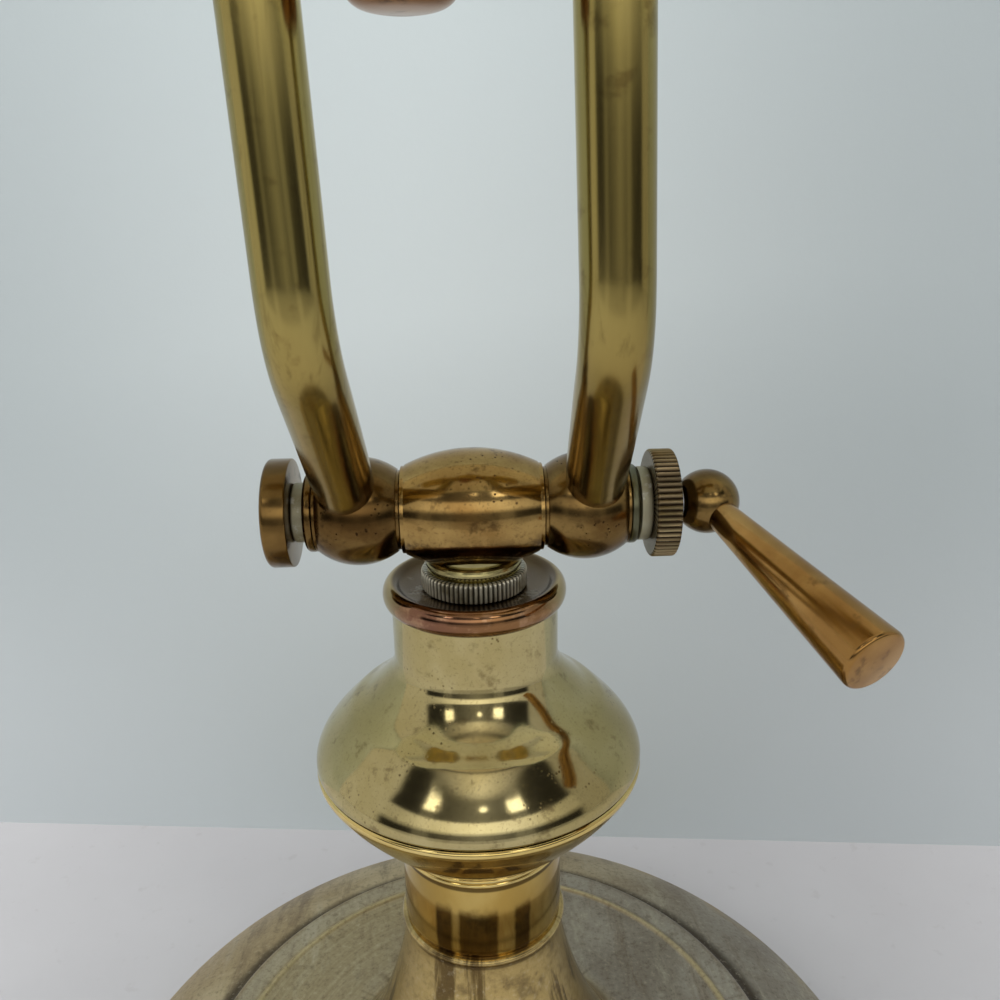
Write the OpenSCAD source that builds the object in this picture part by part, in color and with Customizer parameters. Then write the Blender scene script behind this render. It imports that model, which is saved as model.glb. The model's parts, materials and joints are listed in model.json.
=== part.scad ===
// Bankers lamp with a round dished base, an onion column, a swivel knuckle with
// a clamp lever, two bent tube arms and a tilting two-light head under a trough shade.
// Millimetres, +Z up, +X to the right, the user sits on the -Y side.
// The origin is on the table, under the middle of the column.

/* [Base] */
// Radius of the base at its rim
base_r = 111.4; // [100:0.2:120]
// Height of the rim above the table
rim_h = 12.8; // [11.6:0.2:14]
// Rounding of the rim's top edge
rim_round = 2.4; // [1.4:0.2:3]
// Bulge of the sloping band between rim and plateau
band_bulge = 1.6; // [0:0.2:2.4]
// Radius of the raised plateau
plateau_r = 79.4; // [76:0.2:84]
// Height of the plateau above the table
plateau_h = 28.4; // [27:0.2:31]
// Radius of the worn ridge inside the plateau
ridge_r = 72.4; // [66:0.2:74]
// Height of the ridge above the plateau
ridge_h = 0.7; // [0.3:0.1:1.2]
// Radius where the trumpet meets the dished middle
trumpet_r = 41; // [34:0.5:48]
// Wall of the spun brass parts
shell_t = 1.2; // [0.8:0.1:1.6]
// Thickness of the felt under the base
felt_t = 2; // [1:0.5:3]
// Gap between the cast weight's edge and the skirt of the base
weight_gap = 4; // [3:0.5:8]
// Clearance between the cast weight and the shell above it
weight_clear = 0.4; // [0.3:0.1:0.8]
// Bore of the cord inlet bushing
inlet_bore = 5.2; // [4:0.2:5.6]
// Wall of the cord inlet bushing
bushing_wall = 1.1; // [0.8:0.1:1.4]
// Width of the bushing's flange round its barrel
bushing_flange = 0.9; // [0.6:0.1:1]

/* [Column] */
// Height of the knuckle's pivot above the table
pivot_z = 192; // [186:0.5:205]
// Height of the trumpet's top, where the sleeve stands
trumpet_top_z = 85; // [80:0.5:88]
// Radius of the column sleeve
sleeve_r = 19.8; // [18.6:0.1:21]
// Depth of the sleeve's top below the pivot
sleeve_drop = 86.2; // [85:0.1:92]
// Radius of the onion at its crease
onion_r = 38.7; // [35:0.1:44]
// Depth of the crease below the pivot
crease_drop = 60.9; // [59:0.1:66]
// Depth of the place where the neck begins to flare
flare_drop = 34.3; // [33:0.1:38]
// Radius of the neck
neck_r = 19; // [18:0.1:20]
// Depth of the neck's top below the pivot
neck_drop = 22.4; // [22:0.1:24]
// Radius of the collar's bead
collar_r = 20.9; // [20.2:0.1:22]
// Height of the collar's bead
bead_h = 5.8; // [5:0.1:6]
// Depth of the collar's dished floor below the pivot
collar_drop = 18.4; // [18:0.1:19]
// Diameter of the threaded tie rod
rod_d = 10; // [9:0.5:11]
// Bore of the tie rod
rod_bore = 6; // [5:0.5:7]

/* [Knuckle] */
// Radius of the knurled lock ring over its teeth
ring_r = 12; // [11:0.1:13.4]
// Height of the lock ring
ring_h = 4.4; // [3:0.1:4.6]
// Number of teeth on the lock ring
ring_teeth = 67; // [48:1:80]
// Radius of the swivel stem's spigot
spigot_r = 8; // [7:0.1:8.6]
// Radius of the swivel stem's shoulder
shoulder_r = 10.85; // [10:0.05:11.6]
// Height of the swivel stem's smooth shoulder
shoulder_h = 2.9; // [2:0.1:3.4]
// Largest radius of the middle barrel
barrel_r = 13.4; // [12:0.1:13.6]
// Radius of the barrel at its ends
barrel_end_r = 9.7; // [8.6:0.1:10]
// Length of the barrel
barrel_l = 31.1; // [30:0.1:34.2]
// Distance of each arm from the middle
arm_x = 26.6; // [26.4:0.1:28]
// Largest radius of the side hubs
hub_r = 12; // [11:0.1:12.4]
// Radius of the hubs at their ends
hub_end_r = 8.8; // [8.2:0.1:9.4]
// Length of each hub
hub_l = 18.6; // [18:0.1:19.4]
// Diameter of the pivot bolt
bolt_d = 8; // [6:0.5:9]
// Thickness of the chamfered ring at each hub's end
end_ring_t = 2; // [1.6:0.1:3]
// Thickness of the small washer beside each end ring
washer_t = 2.6; // [2:0.1:3.2]
// Radius of the left washer
washer_left_r = 6.6; // [5.6:0.1:8]
// Radius of the right washer
washer_right_r = 8.2; // [6:0.1:8.6]
// Radius of the plain disc on the left and of the thumb nut on the right
knob_r = 12; // [11:0.1:13]
// Thickness of the disc and of the thumb nut
knob_t = 5.4; // [5:0.1:7]
// Number of teeth on the thumb nut
knob_teeth = 57; // [40:1:72]
// Depth of the knurls
knurl_depth = 0.45; // [0.3:0.05:0.6]

/* [Lever] */
// Radius of the lever's ball
ball_r = 7.2; // [6.6:0.1:7.4]
// Distance from the thumb nut's outer face to the ball's middle
ball_gap = 7.8; // [6:0.1:8.5]
// Length of the lever from the ball's middle to its end face
lever_len = 53.8; // [45:0.1:65]
// Diameter of the lever where it enters the ball
lever_root_d = 7; // [5:0.1:8]
// Diameter of the lever near its end face
lever_tip_d = 13.8; // [10:0.1:16]
// Angle by which the lever stands outwards
lever_splay = 21.5; // [10:0.5:35]
// Angle by which the lever hangs below level
lever_drop = 18; // [0:0.5:45]

/* [Arms] */
// Outer diameter of the arm tubes
arm_d = 12.7; // [11:0.1:12.8]
// Wall of the arm tubes
arm_t = 1.2; // [0.8:0.1:1.6]
// Forward angle of the lower part of each arm
arm_angle = 43; // [36:1:50]
// Length from the pivot to the start of the bend
arm_low = 47.5; // [38:0.5:54]
// Radius of the bend at the tube's middle
bend_r = 27; // [20:0.5:36]
// How much the tube's wall swells in the bend
bend_swell = 0.03; // [0.01:0.01:0.1]
// Sideways lean of both arms
arm_lean = 1.9; // [0:0.1:3]
// Height of the head's pivot above the knuckle's pivot, along the arms
arm_rise = 129; // [118:0.5:140]

/* [Head] */
// Radius of the eyes at the arms' top ends
eye_r = 10.6; // [10:0.1:11.6]
// Length of each eye
eye_l = 17; // [15:0.1:18]
// Diameter of the cross tube
cross_d = 12; // [10:0.5:12.5]
// Largest radius of the wiring body between the eyes
body_r = 14.6; // [13.6:0.1:15.6]
// Offset of the switch from the middle of the wiring body
switch_x = -4.1; // [-6:0.1:6]
// Diameter of the switch's threaded neck
switch_neck_d = 9; // [8:0.5:10]
// Diameter of the switch knob
switch_d = 18; // [15:0.1:19]
// Height of the switch knob
switch_h = 14.5; // [12:0.5:16]
// Gap between the wiring body and the switch knob
switch_gap = 7.5; // [6:0.5:9]
// Thickness of the round nuts beside the eyes
tilt_nut_t = 5; // [4:0.5:6]
// Radius of the round nuts beside the eyes
tilt_nut_r = 11; // [9:0.5:12]
// Radius of the socket shells
socket_r = 17; // [16:0.5:19]
// Length of the socket caps
socket_cap_l = 9; // [7:0.5:11]
// Length of the socket shells
socket_l = 34; // [30:1:38]
// Radius of the lamp bulbs
bulb_r = 15; // [13:0.5:17]
// Length of the bulbs' glass beyond the sockets
bulb_l = 64; // [50:1:70]

/* [Shade] */
// Length of the glass shade
shade_l = 336; // [332:1:360]
// Depth of the glass shade from front to back
shade_w = 134; // [120:1:150]
// Height of the glass shade
shade_h = 68; // [60:1:76]
// Thickness of the glass
glass_t = 3; // [2.5:0.1:4]
// Height of the shade's rim below the head's pivot
rim_below = 13; // [8:0.5:15]
// Half width of the flat strip along the top of the shade
crown_half = 17; // [15:0.5:20]
// Radius of the shade's hole
shade_hole_r = 5.6; // [5.4:0.1:6.5]
// Diameter of the shade's post
post_d = 9.6; // [8:0.1:10]
// Radius of the saddle under the glass
saddle_r = 14; // [10:0.5:15]
// Thickness of the saddle
saddle_t = 2; // [1.5:0.5:3]
// Thickness of each rubber washer
rubber_t = 1.5; // [1:0.1:2]
// Radius of the brass cap on the glass
cap_r = 16; // [12:0.5:17]
// Height of the brass cap
cap_h = 7; // [6:0.5:9]
// Height of the finial
finial_h = 21; // [16:0.5:26]

/* [Fits] */
// Radial clearance of turning fits
run_clear = 0.05; // [0.02:0.01:0.1]
// Clearance between pieces that are assembled face to face
seat_clear = 0.1; // [0.05:0.01:0.3]

/* [Hidden] */
$fn = 72;

brass = "#b3964a";
pale_brass = "#c8b267";
aged_brass = "#8a6a35";
copper_brass = "#a0683c";
grey_brass = "#8d8672";
iron = "#3b3d3e";
steel = "#8f9396";
green_glass = "#1f6b43";

// Points of a quadratic curve from a to c, drawn towards b
function curve(a, b, c, n = 8) =
    [for (i = [0:n]) let (t = i / n) (1 - t) * (1 - t) * a + 2 * t * (1 - t) * b + t * t * c];

// Points of an arc or ellipse round a centre
function arc(c, rx, ry, from, to, n = 8) =
    [for (i = [0:n]) let (a = from + (to - from) * i / n) c + [rx * cos(a), ry * sin(a)]];

// Left-hand unit normal at point i of a path
function side(p, i) =
    let (a = p[max(i - 1, 0)], b = p[min(i + 1, len(p) - 1)], d = b - a) [-d[1], d[0]] / norm(d);

// A path moved sideways by t, to its left
function beside(p, t) = [for (i = [0:len(p) - 1]) p[i] + t * side(p, i)];

function backwards(p) = [for (i = [len(p) - 1:-1:0]) p[i]];

// A closed wall of thickness t along an outer path
function wall(p, t) = concat(p, backwards(beside(p, t)));

// The wide band of the base, from its skirt up to the plateau's foot
rim_end = [base_r - rim_round, rim_h - rim_round] + rim_round * [cos(65), sin(65)];
cove_foot = [plateau_r + 5.4, plateau_h - 4.6];
band_mid = (rim_end + cove_foot) / 2;
band_path = concat(
    [[base_r, felt_t]],
    arc([base_r - rim_round, rim_h - rim_round], rim_round, rim_round, 0, 60, 5),
    curve(rim_end, band_mid + band_bulge * [0.9, 1.8], cove_foot, 10));

// The cove, the plateau and the worn ridge
edge_round = 1.6;
cove_path = concat(
    curve(cove_foot, [plateau_r + 1.9, plateau_h - 4], [plateau_r + 1.5, plateau_h - edge_round], 6),
    curve([plateau_r + 1.5, plateau_h - edge_round + 0.3], [plateau_r + 1.4, plateau_h], [plateau_r - 0.4, plateau_h], 5));
ridge_path = curve([ridge_r + 1.1, plateau_h], [ridge_r, plateau_h + 2 * ridge_h], [ridge_r - 1.1, plateau_h], 6);

// The dished middle and the trumpet, whose radius grows as a superellipse quarter
dish_h = plateau_h + 1.6;
dish_path = curve([ridge_r - 1.6, plateau_h - 0.1], [(ridge_r + trumpet_r) / 2, plateau_h - 0.2], [trumpet_r + 1, dish_h - 0.1], 8);
trumpet_bend = 1.38;
trumpet_neck_r = sleeve_r - 0.1;
lip_z = trumpet_top_z - 2.2;
function trumpet_at(u) =
    [trumpet_neck_r + (trumpet_r - trumpet_neck_r) * (1 - pow(1 - pow(u, trumpet_bend), 1 / trumpet_bend)),
     lip_z - (lip_z - dish_h) * u];
trumpet_path = [for (i = [0:17]) trumpet_at(1 - pow(i / 17, 1.5))];

// The rolled lip that carries the sleeve
lip_path = arc([trumpet_neck_r, trumpet_top_z - 1.1], 1.1, 1.1, -70, 90, 6);

module base_outline() {
    outer = concat(band_path, cove_path, ridge_path, dish_path, trumpet_path);
    plain = concat(band_path, cove_path, dish_path, trumpet_path);
    inner = backwards(beside(plain, shell_t));
    polygon(concat(outer, lip_path, [[trumpet_neck_r - 5, trumpet_top_z], [trumpet_neck_r - 5, trumpet_top_z - shell_t]],
        [[trumpet_neck_r - shell_t, trumpet_top_z - shell_t]], inner));
}

// Cord inlet at the back of the skirt
bushing_r = inlet_bore / 2 + bushing_wall;
bushing_flange_r = bushing_r + bushing_flange;
inlet_z = felt_t + bushing_flange_r + 0.2;
inlet_hole_r = bushing_r + seat_clear;
channel_w = 2 * inlet_hole_r + 2;

module base_shell() {
    color(grey_brass)
    difference() {
        rotate_extrude($fn = 180) base_outline();
        translate([0, base_r - 8, inlet_z]) rotate([-90, 0, 0]) cylinder(r = inlet_hole_r, h = 12);
    }
}

module felt_pad() {
    color("#3d4a35") cylinder(r = base_r - 1.4, h = felt_t, $fn = 120);
}

// Cast weight: a stepped disc under the plateau, with a cord channel below
weight_r = base_r - shell_t - weight_gap;
weight_top = plateau_h - shell_t - weight_clear;
weight_step_r = plateau_r - 2.4;
nut_t = 5;
nut_washer_t = 1.6;
nut_recess = 12;
nut_recess_r = 14;

module base_weight() {
    color(iron)
    difference() {
        rotate_extrude($fn = 120)
            polygon([[rod_d / 2 + seat_clear, felt_t], [weight_r, felt_t], [weight_r, rim_h - 4.4],
                [plateau_r, plateau_h - 8], [weight_step_r, weight_top], [rod_d / 2 + seat_clear, weight_top]]);
        translate([0, 0, felt_t - 1]) cylinder(r = nut_recess_r, h = nut_recess - felt_t + 1);
        translate([-channel_w / 2, 0, felt_t - 1]) cube([channel_w, base_r, inlet_z + inlet_hole_r - felt_t + 1.4]);
    }
}

module weight_washer() {
    color(steel)
    translate([0, 0, nut_recess - nut_washer_t])
    difference() {
        cylinder(r = nut_recess_r - 2, h = nut_washer_t);
        translate([0, 0, -1]) cylinder(d = rod_d + 2 * seat_clear, h = nut_washer_t + 2);
    }
}

module weight_nut() {
    color(steel)
    translate([0, 0, nut_recess - nut_washer_t - nut_t])
    difference() {
        cylinder(r = nut_recess_r - 4.5, h = nut_t, $fn = 6);
        translate([0, 0, -1]) cylinder(d = rod_d + 2 * run_clear, h = nut_t + 2);
    }
}

// The tie rod runs from its nut up into the collar
spigot_end_z = pivot_z - 27;
rod_top_z = spigot_end_z - 0.8;
rod_bottom_z = nut_recess - nut_washer_t - nut_t - 1;

module tie_rod() {
    color(steel)
    translate([0, 0, rod_bottom_z])
    difference() {
        cylinder(d = rod_d, h = rod_top_z - rod_bottom_z);
        translate([0, 0, -1]) cylinder(d = rod_bore, h = rod_top_z - rod_bottom_z + 2);
    }
}

module cord_bushing() {
    color("#2a2a2a")
    translate([0, base_r - shell_t - 1.5, inlet_z]) rotate([-90, 0, 0])
    difference() {
        union() {
            cylinder(r = bushing_r, h = shell_t + 1.5 + seat_clear);
            translate([0, 0, shell_t + 1.5 + seat_clear]) cylinder(r = bushing_flange_r, h = 1.2);
        }
        translate([0, 0, -1]) cylinder(d = inlet_bore, h = shell_t + 6);
    }
}

// Sleeve between trumpet and onion, drawn in slightly at its foot
sleeve_top_z = pivot_z - sleeve_drop;
sleeve_path = concat(
    [[sleeve_r - 0.5, trumpet_top_z]],
    curve([sleeve_r - 0.4, trumpet_top_z + 0.4], [sleeve_r, trumpet_top_z + 0.8], [sleeve_r, trumpet_top_z + 2.4], 4),
    [[sleeve_r, sleeve_top_z]]);

module column_sleeve() {
    color(brass)
    rotate_extrude($fn = 120)
        polygon(concat(sleeve_path, [[sleeve_r - 1 - shell_t, sleeve_top_z], [sleeve_r - 1 - shell_t, trumpet_top_z]]));
}

// Lower half of the onion: a foot with three fine rings, a cove, then a rounded bowl up to the crease
crease_z = pivot_z - crease_drop;
foot_r = sleeve_r + 0.3;
cove_z = sleeve_top_z + 5.3;
fine_ring = 1.2;
fine_ring_out = 0.3;
bowl_w = onion_r - sleeve_r;
bowl_h = crease_z - cove_z;
foot_top_z = sleeve_top_z + 3 * fine_ring;
foot_path = [for (i = [0:2]) let (z = sleeve_top_z + i * fine_ring)
    each [[foot_r, z], [foot_r + fine_ring_out, z + 0.3 * fine_ring], [foot_r + fine_ring_out, z + 0.7 * fine_ring]]];
bowl_path = concat(
    curve([foot_r, foot_top_z], [sleeve_r + 0.05 * bowl_w, cove_z - 0.06 * bowl_h], [sleeve_r + 0.2 * bowl_w, cove_z], 6),
    curve([sleeve_r + 0.23 * bowl_w, cove_z + 0.025 * bowl_h], [onion_r - 0.19 * bowl_w, crease_z - 0.43 * bowl_h],
        [onion_r - 0.2, crease_z - 0.11 * bowl_h], 10),
    curve([onion_r, crease_z - 1.6], [onion_r + 0.1, crease_z - 0.7], [onion_r - 0.5, crease_z - 0.35], 4));

module vase_lower() {
    color(brass)
    rotate_extrude($fn = 120)
        difference() {
            polygon(concat(foot_path, bowl_path, backwards(beside(concat([[foot_r, sleeve_top_z]], bowl_path), shell_t))));
            translate([0, sleeve_top_z - shell_t]) square([onion_r, shell_t]);
        }
}

// Upper half of the onion: the neck, its flare and the dome down to the crease
neck_top_z = pivot_z - neck_drop;
flare_z = pivot_z - flare_drop;
dome_w = onion_r - neck_r;
dome_h = flare_z - crease_z;
upper_path = concat(
    curve([onion_r - 0.6, crease_z], [onion_r + 0.1, crease_z + 0.3], [onion_r, crease_z + 1.2], 3),
    curve([onion_r - 0.05, crease_z + 1.8], [onion_r - 0.035 * dome_w, crease_z + 0.2 * dome_h],
        [onion_r - 0.28 * dome_w, crease_z + 0.39 * dome_h], 10),
    curve([neck_r + 0.17 * dome_w, flare_z - 0.26 * dome_h], [neck_r + 0.015 * dome_w, flare_z - 0.15 * dome_h], [neck_r, flare_z], 8),
    [[neck_r, neck_top_z]]);

module vase_upper() {
    color(pale_brass)
    rotate_extrude($fn = 120) polygon(wall(upper_path, shell_t));
}

// Collar: a turned cup that plugs into the neck, with a round bead and a dished floor for the lock ring
collar_top_z = pivot_z - collar_drop;
bead_rx = 2.1;
bead_c = [collar_r - bead_rx, neck_top_z + 0.2 + bead_h / 2];
bead_from = -74;
bead_to = 118;
plug_r = neck_r - shell_t - seat_clear;
plug_bottom_z = spigot_end_z - 5;

module collar_cup() {
    color(copper_brass)
    difference() {
        rotate_extrude($fn = 120)
            polygon(concat(
                [[0, plug_bottom_z], [plug_r, plug_bottom_z], [plug_r, neck_top_z + seat_clear / 2]],
                [[neck_r + 0.03, neck_top_z + seat_clear / 2]],
                arc(bead_c, bead_rx, bead_h / 2, bead_from, bead_to, 16),
                curve([bead_c[0] - 1.5, bead_c[1] + 0.36 * bead_h], [bead_c[0] - 2.2, collar_top_z + 0.1], [ring_r + 0.8, collar_top_z], 6),
                [[0, collar_top_z]]));
        translate([0, 0, spigot_end_z - 0.2]) cylinder(r = spigot_r + run_clear, h = pivot_z - spigot_end_z);
        translate([0, 0, plug_bottom_z - 1]) cylinder(d = rod_d + 2 * run_clear, h = spigot_end_z - plug_bottom_z + 1);
    }
}

// A straight-knurled disc along Z with n teeth and chamfered edges
module knurled(r, h, n, bore_r) {
    difference() {
        intersection() {
            linear_extrude(height = h)
                polygon([for (i = [0:2 * n - 1])
                    let (a = 180 * i / n, q = i % 2 == 0 ? r : r - knurl_depth) [q * cos(a), q * sin(a)]]);
            rotate_extrude() polygon([[0, 0], [r - 0.6, 0], [r + 0.1, 0.6], [r + 0.1, h - 0.6], [r - 0.6, h], [0, h]]);
        }
        translate([0, 0, -1]) cylinder(r = bore_r, h = h + 2);
    }
}

ring_z = collar_top_z + seat_clear;

module lock_ring() {
    color(grey_brass) translate([0, 0, ring_z]) knurled(ring_r, ring_h, ring_teeth, spigot_r + run_clear);
}

// Outline of a turned piece along the pivot: swells from end_r to mid_r over a length of l
function barrel_outline(mid_r, end_r, l, land) =
    let (half = l / 2 - land, sag = mid_r - end_r - 0.3, big = (half * half + sag * sag) / (2 * sag), a = asin(half / big))
    concat([[end_r, -l / 2], [end_r, -half]],
        [for (i = [0:12]) let (t = -a + 2 * a * i / 12) [mid_r - big + big * cos(t), big * sin(t)]],
        [[end_r, half], [end_r, l / 2]]);

// A turned piece whose axis lies along X, centred on the origin
module turned_x(outline) {
    rotate([0, 90, 0]) rotate_extrude($fn = 120) polygon(concat([[0, outline[0][1]]], outline, [[0, outline[len(outline) - 1][1]]]));
}

module bore_x(r, l) {
    rotate([0, 90, 0]) cylinder(r = r, h = l, center = true);
}

bolt_hole_r = bolt_d / 2 + run_clear;
barrel_shape = barrel_outline(barrel_r, barrel_end_r, barrel_l, 0.9);

module knuckle_barrel() {
    color(aged_brass)
    translate([0, 0, pivot_z])
    difference() {
        turned_x(barrel_shape);
        bore_x(bolt_hole_r, barrel_l + 2);
    }
}

// Stem: a spigot in the collar, a rounded shoulder above the lock ring, and a saddle under the barrel
shoulder_z = ring_z + ring_h + seat_clear;
saddle_neck_r = spigot_r + 1.2;

module swivel_stem() {
    color(grey_brass)
    difference() {
        rotate_extrude($fn = 96)
            polygon(concat([[0, spigot_end_z], [spigot_r, spigot_end_z], [spigot_r, shoulder_z], [shoulder_r - 0.3, shoulder_z]],
                arc([shoulder_r - shoulder_h / 2, shoulder_z + shoulder_h / 2], shoulder_h / 2, shoulder_h / 2, -60, 80, 8),
                [[saddle_neck_r, shoulder_z + shoulder_h], [saddle_neck_r, pivot_z], [0, pivot_z]]));
        translate([0, 0, pivot_z]) turned_x([for (p = barrel_shape) p + [0.05, 0]]);
        translate([0, 0, spigot_end_z - 1]) cylinder(d = rod_bore, h = 12);
    }
}

// Each hub is bored for its arm along the arm's own direction, a little outside its middle
hub_x = barrel_l / 2 + seat_clear + hub_l / 2;
module along_arm() {
    rotate([0, -arm_lean, 0]) rotate([arm_angle, 0, 0]) children();
}

socket_depth = 5.4;
hub_shape = barrel_outline(hub_r, hub_end_r, hub_l, 0.7);

module hub(sgn) {
    color(aged_brass)
    translate([sgn * hub_x, 0, pivot_z])
    difference() {
        turned_x(hub_shape);
        bore_x(bolt_hole_r, hub_l + 2);
        translate([sgn * (arm_x - hub_x), 0, 0])
            along_arm() translate([0, 0, socket_depth]) cylinder(d = arm_d + 2 * run_clear, h = hub_r);
    }
}

module hub_left() {
    hub(-1);
}

module hub_right() {
    hub(1);
}

// Stack outside each hub: end ring, washer, then the disc or the thumb nut
stack_x = hub_x + hub_l / 2 + seat_clear;
washer_x = stack_x + end_ring_t + seat_clear;
knob_x = washer_x + washer_t + seat_clear;

// A round plate along X from x, on the side that sgn gives, with chamfer c on its outer edge
module plate_x(sgn, x, r, t, c, hole_r) {
    translate([sgn * x, 0, pivot_z]) rotate([0, sgn * 90, 0])
    difference() {
        rotate_extrude($fn = 96) polygon([[0, 0], [r - c / 2, 0], [r, c / 2], [r, t - c], [r - c, t], [0, t]]);
        translate([0, 0, -1]) cylinder(r = hole_r, h = t + 2);
    }
}

module end_ring_left() {
    color(aged_brass) plate_x(-1, stack_x, hub_end_r, end_ring_t, 0.9, bolt_hole_r);
}

module end_ring_right() {
    color("#565a4c") plate_x(1, stack_x, hub_end_r, end_ring_t, 0.9, bolt_hole_r);
}

module washer_left() {
    color(grey_brass) plate_x(-1, washer_x, washer_left_r, washer_t, 0.4, bolt_hole_r);
}

module washer_right() {
    color("#b5b3a4") plate_x(1, washer_x, washer_right_r, washer_t, 0.6, bolt_hole_r);
}

module head_disc() {
    color(aged_brass) plate_x(-1, knob_x, knob_r, knob_t, 0.9, bolt_d / 2 + run_clear);
}

// Lever: a ball on the bolt's end, partly sunk in the thumb nut's outer face
nut_end_x = knob_x + knob_t;
ball_x = nut_end_x + ball_gap;
bolt_end_x = ball_x - 2.4;

module pivot_bolt() {
    color(steel)
    translate([-knob_x - knob_t + 0.6, 0, pivot_z]) rotate([0, 90, 0])
        cylinder(d = bolt_d, h = bolt_end_x + knob_x + knob_t - 0.6);
}

module thumb_nut() {
    color(grey_brass)
    difference() {
        translate([knob_x, 0, pivot_z]) rotate([0, 90, 0]) knurled(knob_r, knob_t, knob_teeth, bolt_hole_r);
        translate([ball_x, 0, pivot_z]) sphere(r = ball_r + 0.3, $fn = 96);
    }
}

// The lever points to the user, down by lever_drop and outwards by lever_splay
lever_dir = [sin(lever_splay), -cos(lever_splay) * cos(lever_drop), -cos(lever_splay) * sin(lever_drop)];

// Turns +Z onto the lever's direction
module to_lever() {
    rotate([0, acos(lever_dir[2]), atan2(lever_dir[1], lever_dir[0])]) children();
}

lever_seat = 4.6;

ball_floor = 2.2;

module lever_ball() {
    start = asin(bolt_hole_r / ball_r) - 90;
    color(aged_brass)
    translate([ball_x, 0, pivot_z])
    difference() {
        rotate([0, 90, 0]) rotate_extrude($fn = 96)
            polygon(concat([[0, -ball_floor], [bolt_hole_r, -ball_floor]], arc([0, 0], ball_r, ball_r, start, 90, 36)));
        to_lever() translate([0, 0, lever_seat]) cylinder(d = lever_root_d + 2 * run_clear, h = ball_r);
    }
}

module lever_handle() {
    root = lever_root_d / 2;
    tip = lever_tip_d / 2;
    color(copper_brass)
    translate([ball_x, 0, pivot_z]) to_lever()
        rotate_extrude($fn = 96)
            polygon([[0, lever_seat], [root, lever_seat], [root, ball_r + 0.4], [tip, lever_len - 1.1],
                [tip - 0.25, lever_len - 0.4], [tip - 0.9, lever_len], [0, lever_len]]);
}

// Each arm is one bent tube: straight, bend and straight, in the plane of Y and Z
bend_start = arm_low * [-sin(arm_angle), cos(arm_angle)];
bend_centre = bend_start + bend_r * [cos(arm_angle), sin(arm_angle)];
arm_y = bend_centre[0] - bend_r;
arm_bore = arm_d - 2 * arm_t;

module tube(h) {
    difference() {
        cylinder(d = arm_d, h = h);
        translate([0, 0, -1]) cylinder(d = arm_bore, h = h + 2);
    }
}

module bend() {
    translate([0, bend_centre[0], bend_centre[1]]) rotate([90, 0, 90]) rotate([0, 0, 180])
        rotate_extrude(angle = arm_angle) translate([bend_r, 0])
        difference() {
            circle(d = arm_d + 2 * bend_swell);
            circle(d = arm_bore - 2 * bend_swell);
        }
}

eye_seat = 7.2;
arm_start = socket_depth + seat_clear;
arm_top = arm_rise - eye_seat - seat_clear;
// How far the straight tubes reach into the bend, whose wall is thicker there
bend_lap = 0.05;

module arm(sgn) {
    color(brass)
    translate([sgn * arm_x, 0, pivot_z]) rotate([0, -arm_lean, 0]) {
        rotate([arm_angle, 0, 0]) translate([0, 0, arm_start]) tube(arm_low - arm_start + bend_lap);
        bend();
        translate([0, arm_y, bend_centre[1] - bend_lap]) tube(arm_top - bend_centre[1] + bend_lap);
    }
}

module arm_left() {
    arm(-1);
}

module arm_right() {
    arm(1);
}

// The head's pivot, at the top of the leaning arms
head_c = [-arm_rise * sin(arm_lean), arm_y, pivot_z + arm_rise * cos(arm_lean)];
cross_hole_r = cross_d / 2 + run_clear;
eye_shape = barrel_outline(eye_r, eye_r - 1.6, eye_l, 0.8);

module eye(sgn) {
    color(aged_brass)
    translate(head_c + [sgn * arm_x, 0, 0])
    difference() {
        union() {
            turned_x(eye_shape);
            rotate([0, 180 - arm_lean, 0]) translate([0, 0, eye_seat]) cylinder(d = arm_d + 1.6, h = eye_r - eye_seat + 1.5);
        }
        bore_x(cross_hole_r, eye_l + 2);
        rotate([0, 180 - arm_lean, 0]) translate([0, 0, eye_seat]) cylinder(d = arm_d + 2 * run_clear, h = eye_r);
    }
}

module eye_left() {
    eye(-1);
}

module eye_right() {
    eye(1);
}

// Stack along the cross tube outside each eye: round nut, socket cap, socket shell, bulb
nut_x = arm_x + eye_l / 2 + seat_clear;
cap_x = nut_x + tilt_nut_t + seat_clear;
shell_x = cap_x + socket_cap_l + seat_clear;
cross_half = shell_x - 1.5;
socket_t = 0.9;
cap_wall = 1.4;

module cross_tube() {
    color(brass)
    translate(head_c)
    difference() {
        bore_x(cross_d / 2, 2 * cross_half);
        bore_x(cross_d / 2 - 1.2, 2 * cross_half + 2);
    }
}

body_half = arm_x - eye_l / 2 - seat_clear;
body_shape = concat([[body_r - 2, -body_half]], curve([body_r - 0.4, -body_half + 0.4], [body_r, -body_half + 0.8], [body_r, -body_half + 2.4], 3),
    curve([body_r, body_half - 2.4], [body_r, body_half - 0.8], [body_r - 0.4, body_half - 0.4], 3), [[body_r - 2, body_half]]);
post_seat = 9;

module wiring_body() {
    color(brass)
    translate(head_c)
    difference() {
        turned_x(body_shape);
        bore_x(cross_d / 2 + run_clear, 2 * body_half + 2);
        translate([0, 0, post_seat]) cylinder(d = post_d + 2 * run_clear, h = body_r);
        translate([switch_x, 0, -body_r - 1]) cylinder(d = switch_neck_d + 2 * run_clear, h = body_r + 1 - post_seat);
    }
}

// Turn switch under the wiring body: a threaded neck and a round knob
switch_top_z = head_c[2] - body_r - switch_gap;
knob_bottom_z = switch_top_z - switch_h;

module switch_neck() {
    color(brass)
    translate([head_c[0] + switch_x, arm_y, switch_top_z - 6])
        cylinder(d = switch_neck_d, h = head_c[2] - post_seat - 0.1 - switch_top_z + 6);
}

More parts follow.
